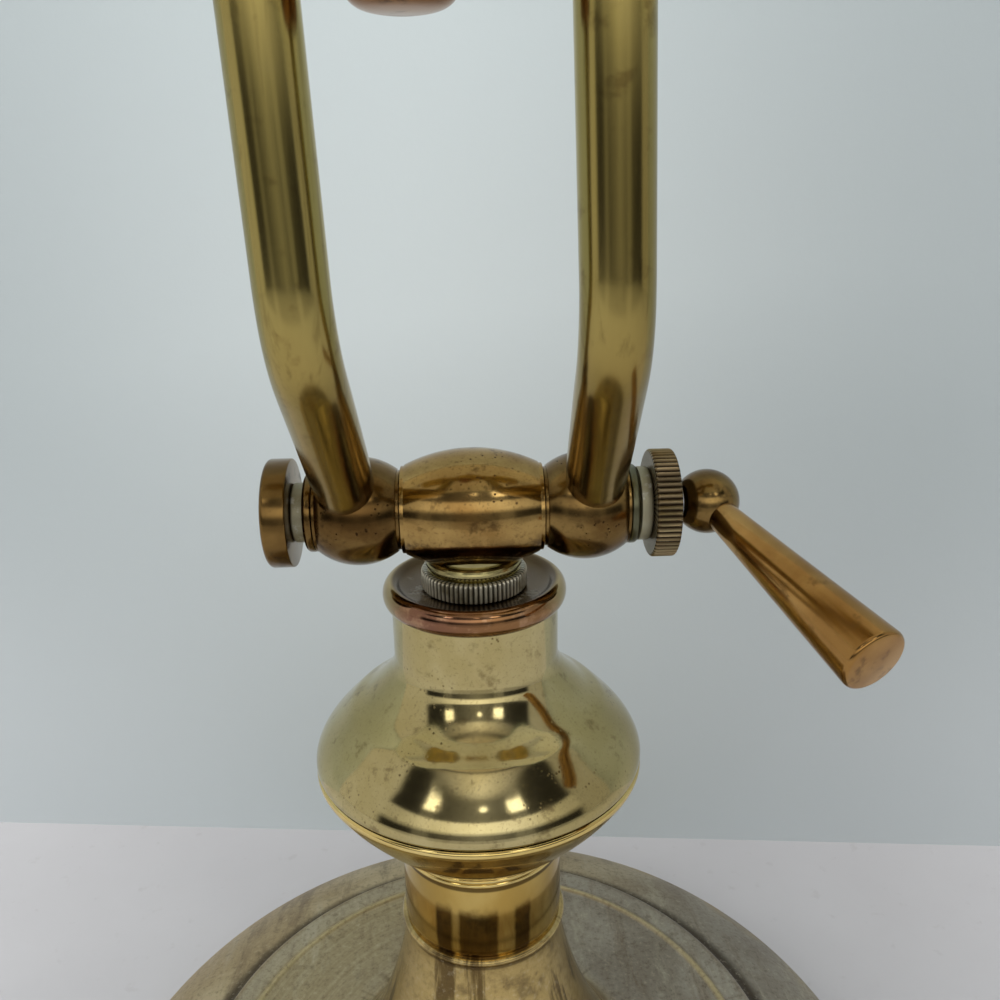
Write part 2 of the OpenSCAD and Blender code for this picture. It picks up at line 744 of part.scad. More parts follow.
module switch_knob() {
    r = switch_d / 2;
    color(copper_brass)
    translate([head_c[0] + switch_x, arm_y, knob_bottom_z])
    difference() {
        rotate_extrude($fn = 96)
            polygon(concat([[0, 0], [r - 4.6, 0.12]], curve([r - 3.6, 0.3], [r, 1], [r, 4.6], 8),
                [[r, switch_h - 1.6], [r - 1.2, switch_h], [0, switch_h]]));
        translate([0, 0, switch_h - 6.3]) cylinder(d = switch_neck_d + 2 * run_clear, h = 8);
    }
}

// Runs its children along the cross tube, outwards on the side that sgn gives
module outwards(sgn, x) {
    translate(head_c) rotate([0, sgn * 90, 0]) translate([0, 0, x]) children();
}

module tilt_nut_left() {
    color(aged_brass) outwards(-1, nut_x) knurled(tilt_nut_r, tilt_nut_t, 36, cross_hole_r);
}

module tilt_nut_right() {
    color(aged_brass) outwards(1, nut_x) knurled(tilt_nut_r, tilt_nut_t, 36, cross_hole_r);
}

module socket_cap(sgn) {
    color(brass)
    outwards(sgn, cap_x)
    rotate_extrude($fn = 96)
        polygon(concat(
            [[cross_hole_r, 0], [cross_hole_r + 3, 0]],
            curve([cross_hole_r + 3.4, 0.2], [socket_r, 0.8], [socket_r, socket_cap_l - 3], 8),
            [[socket_r, socket_cap_l], [socket_r - cap_wall, socket_cap_l]],
            backwards(curve([cross_hole_r + 3.4, 0.2 + cap_wall], [socket_r - cap_wall, 0.8 + cap_wall], [socket_r - cap_wall, socket_cap_l - 3], 8)),
            [[cross_hole_r, cap_wall]]));
}

module socket_cap_left() {
    socket_cap(-1);
}

module socket_cap_right() {
    socket_cap(1);
}

module socket_shell(sgn) {
    color(brass)
    outwards(sgn, shell_x)
    rotate_extrude($fn = 96)
        polygon([[socket_r - socket_t, 0], [socket_r, 0], [socket_r, socket_l - 9], [socket_r + 0.8, socket_l - 8],
            [socket_r, socket_l - 7], [socket_r, socket_l - 1], [socket_r + 0.8, socket_l], [socket_r - socket_t, socket_l]]);
}

module socket_shell_left() {
    socket_shell(-1);
}

module socket_shell_right() {
    socket_shell(1);
}

// Moulded core with a screw cavity; it seats in the shell
core_r = socket_r - socket_t - seat_clear;
screw_r = 13;
core_l = socket_l - 8;

module socket_core(sgn) {
    color("#e6e2d6")
    outwards(sgn, shell_x + 1)
    difference() {
        cylinder(r = core_r, h = core_l, $fn = 96);
        translate([0, 0, 5]) cylinder(r = screw_r + seat_clear, h = core_l, $fn = 96);
    }
}

module socket_core_left() {
    socket_core(-1);
}

module socket_core_right() {
    socket_core(1);
}

// Screw base of the bulb, seated on the core's floor
base_x = shell_x + 1 + 5 + seat_clear;
base_l = socket_l - 7;

module bulb_base(sgn) {
    color(steel)
    outwards(sgn, base_x)
    rotate_extrude($fn = 96)
        polygon([[0, 0], [4, 0], [5, 2], [9, 3], [screw_r - 0.4, 5], [screw_r, 6], [screw_r, base_l - 1.5], [screw_r - 0.8, base_l], [0, base_l]]);
}

module bulb_base_left() {
    bulb_base(-1);
}

module bulb_base_right() {
    bulb_base(1);
}

glass_x = base_x + base_l + seat_clear;

module bulb(sgn) {
    color("#f4efdf")
    outwards(sgn, glass_x)
    rotate_extrude($fn = 96)
        polygon(concat([[0, 0], [screw_r - 1, 0]], curve([screw_r - 0.6, 1], [bulb_r, 3], [bulb_r, 8], 6),
            arc([0, bulb_l - bulb_r], bulb_r, bulb_r, 0, 90, 14)));
}

module bulb_left() {
    bulb(-1);
}

module bulb_right() {
    bulb(1);
}

// Half section of the shade, from the middle of its top to its rim, reduced all round by t
function shade_half(t) =
    let (w = shade_w / 2 - 3 - t, h = shade_h - t, c = crown_half - t / 3)
    concat([[0, h]],
        [for (i = [0:16]) let (a = 90 * i / 16) [c + (w - c) * pow(sin(a), 0.92), 7 + (h - 7) * pow(cos(a), 0.86)]],
        curve([w + 0.05, 5], [w + 0.3, 1.6], [w + 3, 0], 4));

rim_z = head_c[2] - rim_below;
glass_top_z = rim_z + shade_h;
mid_l = shade_l - shade_w;

// Straight middle and two half-round ends; foot is how far the solid reaches below the rim
module shade_solid(t, foot) {
    half = concat(shade_half(t), [[shade_w / 2 - t, -foot]]);
    rotate([90, 0, 90]) linear_extrude(height = mid_l, center = true)
        polygon(concat(half, backwards([for (p = half) [-p[0], p[1]]])));
    for (sgn = [-1, 1])
        translate([sgn * mid_l / 2, 0, 0]) rotate([0, 0, sgn * 90 - 180])
            rotate_extrude(angle = 180, $fn = 120) polygon(concat([[0, -foot]], half));
}

module shade() {
    color(green_glass)
    translate([head_c[0], arm_y, rim_z])
    difference() {
        shade_solid(0, 0);
        shade_solid(glass_t, 1);
        translate([0, 0, shade_h - 10]) cylinder(r = shade_hole_r, h = 20);
    }
}

// Fixings of the shade, from the wiring body upwards
saddle_z = glass_top_z - glass_t - rubber_t - saddle_t - 2 * seat_clear;
saddle_nut_t = 4;
cap_z = glass_top_z + rubber_t + 2 * seat_clear;
post_top_z = cap_z + cap_h - 0.5;
stud_d = 6.2;
stud_l = 8;

module on_head_axis(z) {
    translate([head_c[0], arm_y, z]) children();
}

module shade_post() {
    color(steel)
    on_head_axis(head_c[2] + post_seat + seat_clear) cylinder(d = post_d, h = post_top_z - head_c[2] - post_seat - seat_clear);
    color(steel)
    on_head_axis(post_top_z) cylinder(d = stud_d, h = stud_l);
}

module saddle_nut() {
    color(steel)
    on_head_axis(saddle_z - saddle_nut_t - seat_clear)
    difference() {
        cylinder(r = post_d * 0.9, h = saddle_nut_t, $fn = 6);
        translate([0, 0, -1]) cylinder(d = post_d + 2 * run_clear, h = saddle_nut_t + 2);
    }
}

module flat_ring(r, t, hole_r) {
    difference() {
        cylinder(r = r, h = t, $fn = 96);
        translate([0, 0, -1]) cylinder(r = hole_r, h = t + 2);
    }
}

module shade_saddle() {
    color(brass) on_head_axis(saddle_z) flat_ring(saddle_r, saddle_t, post_d / 2 + run_clear);
}

module washer_lower() {
    color("#262626") on_head_axis(saddle_z + saddle_t + seat_clear) flat_ring(saddle_r - 1, rubber_t, post_d / 2 + run_clear);
}

module washer_upper() {
    color("#262626") on_head_axis(glass_top_z + seat_clear) flat_ring(cap_r - 2, rubber_t, post_d / 2 + run_clear);
}

module shade_cap() {
    color(brass)
    on_head_axis(cap_z)
    rotate_extrude($fn = 96)
        polygon(concat([[post_d / 2 + run_clear, 0], [cap_r, 0]], curve([cap_r, 1.2], [cap_r - 1.5, cap_h - 2.4], [8.6, cap_h], 8),
            [[post_d / 2 + run_clear, cap_h]]));
}

// Finial: a turned knob with a foot, a waist, a ball and a point
module finial() {
    foot = 7;
    color(brass)
    on_head_axis(cap_z + cap_h + seat_clear)
    difference() {
        rotate_extrude($fn = 96)
            polygon(concat([[0, 0], [foot, 0], [foot, 1.4]],
                curve([foot - 0.6, 1.8], [4.6, 2.2], [4.7, 5.4], 5),
                arc([0, 11.4], 7.4, 6.2, -48, 62, 12),
                curve([3, 17.2], [1.6, 17.8], [1.5, finial_h - 2], 4),
                [[1, finial_h - 0.5], [0, finial_h]]));
        translate([0, 0, -1]) cylinder(d = stud_d + 2 * run_clear, h = stud_l + 1.5);
    }
}

felt_pad();
base_shell();
base_weight();
weight_nut();
weight_washer();
tie_rod();
cord_bushing();
column_sleeve();
vase_lower();
vase_upper();
collar_cup();
lock_ring();
swivel_stem();
knuckle_barrel();
hub_left();
hub_right();
end_ring_left();
end_ring_right();
washer_left();
washer_right();
pivot_bolt();
head_disc();
thumb_nut();
lever_ball();
lever_handle();
arm_left();
arm_right();
eye_left();
eye_right();
cross_tube();
wiring_body();
switch_neck();
switch_knob();
tilt_nut_left();
tilt_nut_right();
socket_cap_left();
socket_cap_right();
socket_shell_left();
socket_shell_right();
socket_core_left();
socket_core_right();
bulb_base_left();
bulb_base_right();
bulb_left();
bulb_right();
shade_post();
saddle_nut();
shade_saddle();
washer_lower();
washer_upper();
shade();
shade_cap();
finial();
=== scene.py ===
import json
import math

import bpy
import numpy as np
from mathutils import Matrix


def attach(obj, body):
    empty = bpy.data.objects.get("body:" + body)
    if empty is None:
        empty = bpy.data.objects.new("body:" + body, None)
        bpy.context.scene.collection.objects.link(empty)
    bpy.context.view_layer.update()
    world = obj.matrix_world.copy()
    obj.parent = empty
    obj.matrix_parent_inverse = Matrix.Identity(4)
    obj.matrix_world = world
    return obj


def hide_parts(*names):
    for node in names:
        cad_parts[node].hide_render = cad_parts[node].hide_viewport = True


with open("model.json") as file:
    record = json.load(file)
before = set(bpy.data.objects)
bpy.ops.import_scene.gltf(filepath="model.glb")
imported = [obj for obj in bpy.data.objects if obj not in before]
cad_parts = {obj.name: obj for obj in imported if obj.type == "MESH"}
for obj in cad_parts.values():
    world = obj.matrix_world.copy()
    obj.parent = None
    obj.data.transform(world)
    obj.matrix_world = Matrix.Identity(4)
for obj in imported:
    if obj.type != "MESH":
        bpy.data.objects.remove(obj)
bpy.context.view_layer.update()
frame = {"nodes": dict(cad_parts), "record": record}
nodes = frame["nodes"]
scene = bpy.context.scene

# The place where the lamp stands: a whitish table top against a pale grey-blue wall.
# The camera is a phone held a hand's length in front of the knuckle and looks down on it.
PIVOT = 192.0


def in_metres(points):
    """Millimetres of the source to metres of the scene: the points times 0.001."""
    return np.asarray(points, float) * 0.001


def mesh_piece(name, points, faces, sharp=32):
    """A mesh object at the origin from points in millimetres and faces as index lists,
    smooth except across edges where two faces meet at more than sharp degrees."""
    mesh = bpy.data.meshes.new(name)
    mesh.from_pydata(in_metres(points).tolist(), [], [list(map(int, f)) for f in faces])
    mesh.validate()
    mesh.shade_smooth()
    mesh.set_sharp_from_angle(angle=math.radians(sharp))
    piece = bpy.data.objects.new(name, mesh)
    scene.collection.objects.link(piece)
    return piece


def grid_faces(rows, columns, closed_rows, closed_columns):
    """Quads of a grid of rows x columns points, as index quadruples; a closed way joins its last line to its first."""
    i = np.arange(rows if closed_rows else rows - 1)
    j = np.arange(columns if closed_columns else columns - 1)
    i, j = np.meshgrid(i, j, indexing="ij")
    i2, j2 = (i + 1) % rows, (j + 1) % columns
    return np.stack([i * columns + j, i * columns + j2, i2 * columns + j2, i2 * columns + j], -1).reshape(-1, 4)


class Reading:
    """A shader socket; sums, differences, products, quotients and powers of it add Math nodes."""

    def __init__(self, finish, socket):
        self.finish, self.socket = finish, socket

    def maths(self, operation, *values, clamp=False):
        node = self.finish.node("ShaderNodeMath", {"operation": operation, "use_clamp": clamp}, values)
        return Reading(self.finish, node.outputs[0])

    def __add__(self, other): return self.maths("ADD", self, other)
    def __radd__(self, other): return self.maths("ADD", other, self)
    def __sub__(self, other): return self.maths("SUBTRACT", self, other)
    def __rsub__(self, other): return self.maths("SUBTRACT", other, self)
    def __mul__(self, other): return self.maths("MULTIPLY", self, other)
    def __rmul__(self, other): return self.maths("MULTIPLY", other, self)
    def __truediv__(self, other): return self.maths("DIVIDE", self, other)
    def __rtruediv__(self, other): return self.maths("DIVIDE", other, self)
    def __pow__(self, other): return self.maths("POWER", self, other)
    def __neg__(self): return self.maths("MULTIPLY", self, -1.0)
    def __abs__(self): return self.maths("ABSOLUTE", self)

    def clamp(self): return self.maths("ADD", self, 0.0, clamp=True)
    def sine(self): return self.maths("SINE", self)
    def arc_sine(self): return self.maths("ARCSINE", self)
    def turn_from(self, other): return self.maths("ARCTAN2", self, other)
    def root(self): return self.maths("SQRT", self)
    def top(self, other): return self.maths("MAXIMUM", self, other)
    def low(self, other): return self.maths("MINIMUM", self, other)

    def step(self, start, end):
        """0 below start and 1 above end, with a smooth rise between; a fall where start is above end."""
        rise = self.maths("ADD", (self - start) / (end - start), 0.0, clamp=True)
        return rise * rise * (3.0 - 2.0 * rise)

    def band(self, middle, half, soft):
        """1 within half of the middle, falling smoothly to 0 over soft."""
        return abs(self - middle).step(half + soft, half)


def paint(red, green, blue):
    """A colour as it looks on screen, 0 to 255, turned to linear light."""
    c = np.array([red, green, blue]) / 255.0
    return (*np.where(c <= 0.04045, c / 12.92, ((c + 0.055) / 1.055) ** 2.4).tolist(), 1.0)


class Finish:
    """A node material, or the world, under construction."""

    def __init__(self, name, world=False):
        self.data = bpy.data.worlds.new(name) if world else bpy.data.materials.new(name)
        self.data.use_nodes = True
        self.tree = self.data.node_tree
        self.tree.nodes.clear()

    def node(self, kind, settings=None, values=None):
        """A node of that type: its settings first, then values or links for its sockets, by name or in order."""
        node = self.tree.nodes.new(kind)
        for key, value in (settings or {}).items():
            if key == "stops":
                ramp = node.color_ramp
                for place, colour in value[2:]:
                    ramp.elements.new(place)
                for element, (place, colour) in zip(ramp.elements, sorted(value, key=lambda s: s[0])):
                    element.position, element.color = place, colour
            else:
                setattr(node, key, value)
        pairs = values.items() if isinstance(values, dict) else enumerate(values or ())
        for key, value in pairs:
            socket = node.inputs[key]
            if isinstance(value, Reading):
                self.tree.links.new(value.socket, socket)
            else:
                socket.default_value = value
        return node

    def read(self, kind, settings=None, values=None, output=0):
        return Reading(self, self.node(kind, settings, values).outputs[output])

    def place(self):
        """The point on the piece, in metres, as a vector reading."""
        return self.read("ShaderNodeTexCoord", output="Object")

    def xyz(self):
        """The three coordinates of the point on the piece, in millimetres."""
        split = self.node("ShaderNodeSeparateXYZ", None, [self.place()])
        return tuple(Reading(self, o) * 1000.0 for o in split.outputs)

    def scaled(self, x, y, z, shift=(0, 0, 0), turn=(0, 0, 0)):
        return self.read("ShaderNodeMapping", None, {"Vector": self.place(), "Scale": (x, y, z), "Location": shift, "Rotation": turn})

    def noise(self, scale, detail=4.0, rough=0.55, vector=None, twist=0.0):
        return self.read("ShaderNodeTexNoise", None, {"Vector": vector or self.place(), "Scale": scale, "Detail": detail, "Roughness": rough, "Distortion": twist})

    def cells(self, scale, vector=None, spread=1.0):
        return self.read("ShaderNodeTexVoronoi", {"feature": "F1"}, {"Vector": vector or self.place(), "Scale": scale, "Randomness": spread})

    def mix(self, factor, one, two, blend="MIX"):
        node = self.node("ShaderNodeMix", {"data_type": "RGBA", "blend_type": blend})
        for socket, value in zip((node.inputs[0], node.inputs[6], node.inputs[7]), (factor, one, two)):
            if isinstance(value, Reading):
                self.tree.links.new(value.socket, socket)
            else:
                socket.default_value = value
        return Reading(self, node.outputs[2])

    def bump(self, height, strength, distance, normal=None):
        values = {"Height": height, "Strength": strength, "Distance": distance * 0.001}
        if normal:
            values["Normal"] = normal
        return self.read("ShaderNodeBump", None, values)

    def surface(self, shader):
        kind = "ShaderNodeOutputWorld" if isinstance(self.data, bpy.types.World) else "ShaderNodeOutputMaterial"
        self.node(kind, None, {"Surface": shader})
        return self.data

    def principled(self, **values):
        names = {k.replace("_", " "): v for k, v in values.items()}
        return self.surface(self.read("ShaderNodeBsdfPrincipled", None, names))


def look(azimuth_up, place, lens):
    """A camera from its forward and up directions, its place in millimetres and its lens in millimetres."""
    forward, up = (np.array(v, float) / np.linalg.norm(v) for v in azimuth_up)
    right = np.cross(forward, up)
    right /= np.linalg.norm(right)
    up = np.cross(right, forward)
    data = bpy.data.cameras.new("phone")
    data.lens, data.sensor_width, data.clip_start, data.clip_end = lens, 36.0, 0.01, 30.0
    camera = bpy.data.objects.new("phone", data)
    scene.collection.objects.link(camera)
    turn = np.eye(4)
    turn[:3, 0], turn[:3, 1], turn[:3, 2], turn[:3, 3] = right, up, -forward, in_metres(place)
    camera.matrix_world = Matrix(turn.tolist())
    scene.camera = camera
    return camera


ROLL = math.radians(-1.03)
PITCH = math.radians(-18.42)
YAW = math.radians(1.83)
forward = np.array([math.sin(YAW) * math.cos(PITCH), math.cos(YAW) * math.cos(PITCH), math.sin(PITCH)])
level = np.array([math.cos(YAW), -math.sin(YAW), 0.0])
upright = np.cross(level, forward)
upward = math.cos(ROLL) * upright - math.sin(ROLL) * level
look((forward, upward), (0.0, -193.3, PIVOT + 66.0), 33.12)

scene.view_settings.view_transform = "Standard"


def stage_sheet(name, corners, finish, smooth_corner=0):
    """A flat four-cornered sheet of the stage."""
    piece = mesh_piece(name, corners, [(0, 1, 2, 3)])
    piece.data.materials.append(finish)
    return piece


def bright_gaps(azimuth):
    """1 in the two upright pale gaps of the dim room in front of the lamp, as brass mirrors it: left and right of the middle."""
    return azimuth.band(-38.0, 4.0, 2.5) + azimuth.band(27.0, 5.0, 2.5)


table = Finish("table_top")
table_grain = table.noise(9.0, 5.0, 0.6)
table_specks = table.noise(160.0, 3.0, 0.5)
table_colour = table.mix(table_grain, paint(186, 184, 186), paint(204, 203, 205))
table_colour = table.mix(table_specks.step(0.62, 0.75) * 0.25, table_colour, paint(170, 166, 165))
# Painted reflection: in glossy rays only, the table far in front is darkened, except for two pale gaps, to stand for
# the dim room that the brass mirrors there.
mirrored = Reading(table, table.node("ShaderNodeLightPath").outputs["Is Glossy Ray"])
table_x, table_y, _ = table.xyz()
painted_dark_room = (-table_y).step(440.0, 500.0) * (1.0 - bright_gaps(table_x.turn_from(-table_y) * (180 / math.pi)) * 0.8)
table_top = table.principled(Base_Color=table.mix(mirrored * painted_dark_room * 0.35, table_colour, paint(52, 46, 40)),
                             Roughness=table_grain * 0.2 + 0.42, Specular_IOR_Level=0.3,
                             Normal=table.bump(table_specks, 0.08, 0.3))
stage_sheet("table_sheet", [(-1600, -1500, 0), (1600, -1500, 0), (1600, 1600, 0), (-1600, 1600, 0)], table_top)

wall = Finish("wall_paint")
wall_x, _, wall_z = wall.xyz()
wall_cloud = wall.noise(1.6, 3.0, 0.5)
wall_grit = wall.noise(420.0, 2.0, 0.5)
# Painted light and shade: the wall is painted paler towards the bottom and palest in a patch low behind the lamp,
# darker higher up and to the sides.
wall_painted_low_light = wall.mix(wall_z.step(190.0, 40.0), paint(181, 189, 190), paint(203, 209, 210))
wall_painted_light = wall.mix(abs(wall_x + 15.0).step(190.0, 0.0) * wall_z.step(520.0, 300.0), wall_painted_low_light, paint(216, 224, 225))
wall_shader = wall.read("ShaderNodeBsdfPrincipled", None, {
    "Base Color": wall.mix(wall_cloud * 0.25, wall_painted_light, paint(198, 206, 211)),
    "Roughness": 0.9, "Specular IOR Level": 0.1, "Normal": wall.bump(wall_grit, 0.12, 0.3)})
seen_behind = wall.read("ShaderNodeNewGeometry", output="Backfacing")
clear = wall.read("ShaderNodeBsdfTransparent")
wall_paint = wall.surface(wall.read("ShaderNodeMixShader", None, [seen_behind, wall_shader, clear]))
WALL_Y = 133.2
WALL_SLOPE = math.tan(math.radians(5.47))
stage_sheet("wall_sheet", [(1500, WALL_Y - 1500 * WALL_SLOPE, 0), (1500, WALL_Y - 1500 * WALL_SLOPE, 1600),
                           (-1500, WALL_Y + 1500 * WALL_SLOPE, 1600), (-1500, WALL_Y + 1500 * WALL_SLOPE, 0)], wall_paint)

# What the brass mirrors: a dim room in front with a bright stripe low in the middle and two window gaps,
# a pale ceiling with a ring lamp, the dim hollow of the shade overhead, and paler sides.
room = Finish("room_light", world=True)
toward = room.node("ShaderNodeSeparateXYZ", None, [room.read("ShaderNodeTexCoord", output="Generated")])
side_x, deep_y, high_z = (Reading(room, o) for o in toward.outputs)
azimuth = side_x.turn_from(-deep_y) * (180 / math.pi)
height = high_z.arc_sine() * (180 / math.pi)
ahead = abs(azimuth)


def disc_at(at_side, at_height, inner, outer):
    """1 within inner degrees of a direction, falling to 0 at outer degrees: from the cosine of the angle."""
    a, h = math.radians(at_side), math.radians(at_height)
    cosine = side_x * (math.sin(a) * math.cos(h)) - deep_y * (math.cos(a) * math.cos(h)) + high_z * math.sin(h)
    return cosine.step(math.cos(math.radians(outer)), math.cos(math.radians(inner)))


dim_front = ahead.step(70.0, 64.0) * height.step(59.0, 57.5)
gaps = bright_gaps(azimuth)
stripe = height.step(6.0, 10.0) * height.step(30.0, 27.0)
windows = height.step(35.0, 38.0) * height.step(48.0, 45.0)
middle = (1.0 - ahead / 58.0).clamp()
dim = 0.03 + middle * middle * 0.3 + gaps * 0.16 * height.step(52.0, 46.0) + windows * gaps * 2.6 + height.band(52.8, 2.0, 1.6) * middle * 0.85
stripe = stripe * (0.35 + middle * 0.65)
dim = dim * (1.0 - stripe) + stripe * (0.9 + height.step(10.0, 14.0) * 0.8)
lens = height.step(67.5, 69.0)
overhead = 0.05 + (1.0 - ahead / 62.0).clamp() * 0.8
sides = 0.66 - azimuth.step(-60.0, 70.0) * 0.2
level = sides * (1.0 - dim_front) + dim * dim_front
level = level * (1.0 - lens * ahead.step(96.0, 86.0)) + overhead * lens * ahead.step(96.0, 86.0)
lens_free = (1.0 - lens) * ahead.step(84.0, 48.0)
ring_lamp = disc_at(0, 74, 4.4, 5.2) - disc_at(0, 74, 2.6, 3.4)
level = level + ring_lamp * 2.6 + disc_at(2, 43, 1.6, 2.6) * 3.0
warm = lens_free * height.step(46.0, 66.0)
gloss = room.read("ShaderNodeCombineColor", None, [level, level * (0.99 - warm * 0.12), level * (0.96 - warm * 0.3)])
light_path = room.node("ShaderNodeLightPath")
seen, glossy, through = (Reading(room, light_path.outputs[k]) for k in ("Is Camera Ray", "Is Glossy Ray", "Is Transmission Ray"))
plain = room.read("ShaderNodeBackground", None, [(0.80, 0.82, 0.84, 1.0), 0.74])
pale = room.read("ShaderNodeBackground", None, [paint(205, 212, 216), 1.0])
shine = room.read("ShaderNodeBackground", None, [gloss, 1.0])
lit = room.read("ShaderNodeMixShader", None, [glossy, plain, shine])
scene.world = room.surface(room.read("ShaderNodeMixShader", None, [seen.top(through), lit, pale]))


def soft_lamp(name, place, aim, size, power, colour):
    """A square area lamp at a place in millimetres, turned to its aim."""
    data = bpy.data.lights.new(name, "AREA")
    data.shape, data.size, data.energy, data.color = "SQUARE", size, power, colour
    lamp = bpy.data.objects.new(name, data)
    scene.collection.objects.link(lamp)
    back = np.array(place, float) - np.array(aim, float)
    back /= np.linalg.norm(back)
    right = np.cross((0, 1, 0.01), back)
    right /= np.linalg.norm(right)
    turn = np.eye(4)
    turn[:3, 0], turn[:3, 1], turn[:3, 2], turn[:3, 3] = right, np.cross(back, right), back, in_metres(place)
    lamp.matrix_world = Matrix(turn.tolist())
    lamp.visible_glossy = False


soft_lamp("ceiling_lamp", (-60, -420, 1500), (0, 60, 100), 0.9, 17.0, (1.0, 0.98, 0.95))
soft_lamp("window_side", (-1300, -500, 800), (0, 0, 180), 1.0, 5.0, (0.95, 0.98, 1.0))

# Base: a shell spun from sheet brass over a former, trimmed at its skirt, with the column's trumpet drawn
# up from its middle. The lacquer is gone and the brass has tarnished to grey, brushed by years of polishing.


def bow(a, b, c, n=16):
    """Points of a quadratic curve from a to c drawn towards b: (1-t)^2 a + 2 t (1-t) b + t^2 c."""
    t = np.linspace(0, 1, n)[:, None]
    return (1 - t) ** 2 * np.array(a, float) + 2 * t * (1 - t) * np.array(b, float) + t ** 2 * np.array(c, float)


def round_part(centre, rx, ry, start, end, n=16):
    """Points of an arc or ellipse about a centre from one angle to another, in degrees."""
    a = np.radians(np.linspace(start, end, n))[:, None]
    return np.array(centre, float) + np.hstack([rx * np.cos(a), ry * np.sin(a)])


def beside(path, distance):
    """A path moved to its left by a distance: each point plus the distance times the left normal."""
    way = np.gradient(path, axis=0)
    way /= np.linalg.norm(way, axis=1)[:, None]
    return path + distance * np.stack([-way[:, 1], way[:, 0]], 1)


def turned(name, profile, axis="z", centre=(0, 0, 0), sides=160, loop=False, sharp=32, swell=None):
    """A surface of revolution: each profile point (radius, height) is carried round the axis,
    p(u, v) = centre + radius(v) * (cos u, sin u) + height(v) along the axis. A loop joins the profile's
    ends; else points on the axis close it. swell, if given, adds to the radius as a function of angle and height."""
    profile = np.asarray(profile, float)
    keep = np.r_[True, np.linalg.norm(np.diff(profile, axis=0), axis=1) > 1e-4]
    profile = profile[keep]
    if loop and np.linalg.norm(profile[0] - profile[-1]) < 1e-4:
        profile = profile[:-1]
    body = profile if loop else profile[profile[:, 0] > 1e-6]
    angle = np.linspace(0, 2 * np.pi, sides, endpoint=False)[None, :]
    radius, height = body[:, :1] + 0 * angle, body[:, 1:] + 0 * angle
    if swell is not None:
        radius = radius + swell(angle + 0 * radius, radius, height)
    a, b = radius * np.cos(angle), radius * np.sin(angle)
    points = np.stack([a, b, height] if axis == "z" else [height, a, b], -1)
    rows = len(body)
    points = points.reshape(-1, 3)
    faces = grid_faces(rows, sides, loop, True).tolist()
    rising = np.sum((np.roll(body, -1, 0) - body)[:, 1] * (np.roll(body, -1, 0) + body)[:, 0]) if loop else None
    if not loop:
        for end, row in ((0, 0), (-1, rows - 1)):
            if profile[end, 0] <= 1e-6:
                tip = len(points)
                points = np.vstack([points, [[0, 0, profile[end, 1]] if axis == "z" else [profile[end, 1], 0, 0]]])
                ring = [row * sides + k for k in range(sides)]
                faces += [[tip, ring[(k + 1) % sides], ring[k]] if end == 0 else [tip, ring[k], ring[(k + 1) % sides]] for k in range(sides)]
    piece = mesh_piece(name, points + np.array(centre, float), faces, sharp)
    outwards(piece)
    return piece


def outwards(piece):
    """Turns every face of a closed piece outwards: the sign of the enclosed volume says whether to flip."""
    mesh = piece.data
    mesh.calc_loop_triangles()
    co = np.empty(len(mesh.vertices) * 3)
    mesh.vertices.foreach_get("co", co)
    tri = np.empty(len(mesh.loop_triangles) * 3, np.int32)
    mesh.loop_triangles.foreach_get("vertices", tri)
    p = co.reshape(-1, 3)[tri.reshape(-1, 3)]
    if np.einsum("ij,ij->i", p[:, 0], np.cross(p[:, 1], p[:, 2])).sum() < 0:
        mesh.flip_normals()


def dress(piece, finish, body, slot, *replaced):
    """Gives a new piece its finish and its body and hides the nodes that it stands for; slot is not used."""
    piece.data.materials.append(finish)
    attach(piece, body)
    if replaced:
        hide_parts(*replaced)
    return piece


BASE_R, RIM_H, RIM_ROUND, FELT_T, SHELL_T = 111.4, 12.8, 2.4, 2.0, 1.2
PLATEAU_R, PLATEAU_H, RIDGE_R, RIDGE_H = 79.4, 28.4, 72.4, 0.7
TRUMPET_R, TRUMPET_TOP, SLEEVE_R = 41.0, 85.0, 19.8
rim_end = np.array([BASE_R - RIM_ROUND, RIM_H - RIM_ROUND]) + RIM_ROUND * np.array([math.cos(math.radians(65)), math.sin(math.radians(65))])
cove_foot = np.array([PLATEAU_R + 5.4, PLATEAU_H - 4.6])
band_mid = (rim_end + cove_foot) / 2
dish_h = PLATEAU_H + 1.6
neck = SLEEVE_R - 0.1
lip_z = TRUMPET_TOP - 2.2
fall = (1 - np.linspace(0, 1, 60) ** 1.5)
trumpet_line = np.stack([neck + (TRUMPET_R - neck) * (1 - (1 - fall ** 1.38) ** (1 / 1.38)), lip_z - (lip_z - dish_h) * fall], 1)
base_line = np.vstack([
    [[BASE_R, FELT_T]],
    round_part((BASE_R - RIM_ROUND, RIM_H - RIM_ROUND), RIM_ROUND, RIM_ROUND, 0, 60, 12),
    bow(rim_end, band_mid + 1.6 * np.array([0.9, 1.8]), cove_foot, 30),
    bow(cove_foot, (PLATEAU_R + 1.9, PLATEAU_H - 4), (PLATEAU_R + 1.5, PLATEAU_H - 1.6), 12),
    bow((PLATEAU_R + 1.5, PLATEAU_H - 1.3), (PLATEAU_R + 1.4, PLATEAU_H), (PLATEAU_R - 0.4, PLATEAU_H), 10),
    bow((RIDGE_R + 1.1, PLATEAU_H), (RIDGE_R, PLATEAU_H + 2 * RIDGE_H), (RIDGE_R - 1.1, PLATEAU_H), 12),
    bow((RIDGE_R - 1.6, PLATEAU_H - 0.1), ((RIDGE_R + TRUMPET_R) / 2, PLATEAU_H - 0.2), (TRUMPET_R + 1, dish_h - 0.1), 24),
    trumpet_line])
lip_line = np.vstack([round_part((neck, TRUMPET_TOP - 1.1), 1.1, 1.1, -70, 90, 14), [[neck - 5, TRUMPET_TOP], [neck - 5, TRUMPET_TOP - SHELL_T]]])
base_inner = beside(base_line, SHELL_T)[::-1]
base_shell = turned("base_spinning", np.vstack([base_line, lip_line, base_inner]), sides=256, loop=True, sharp=38)

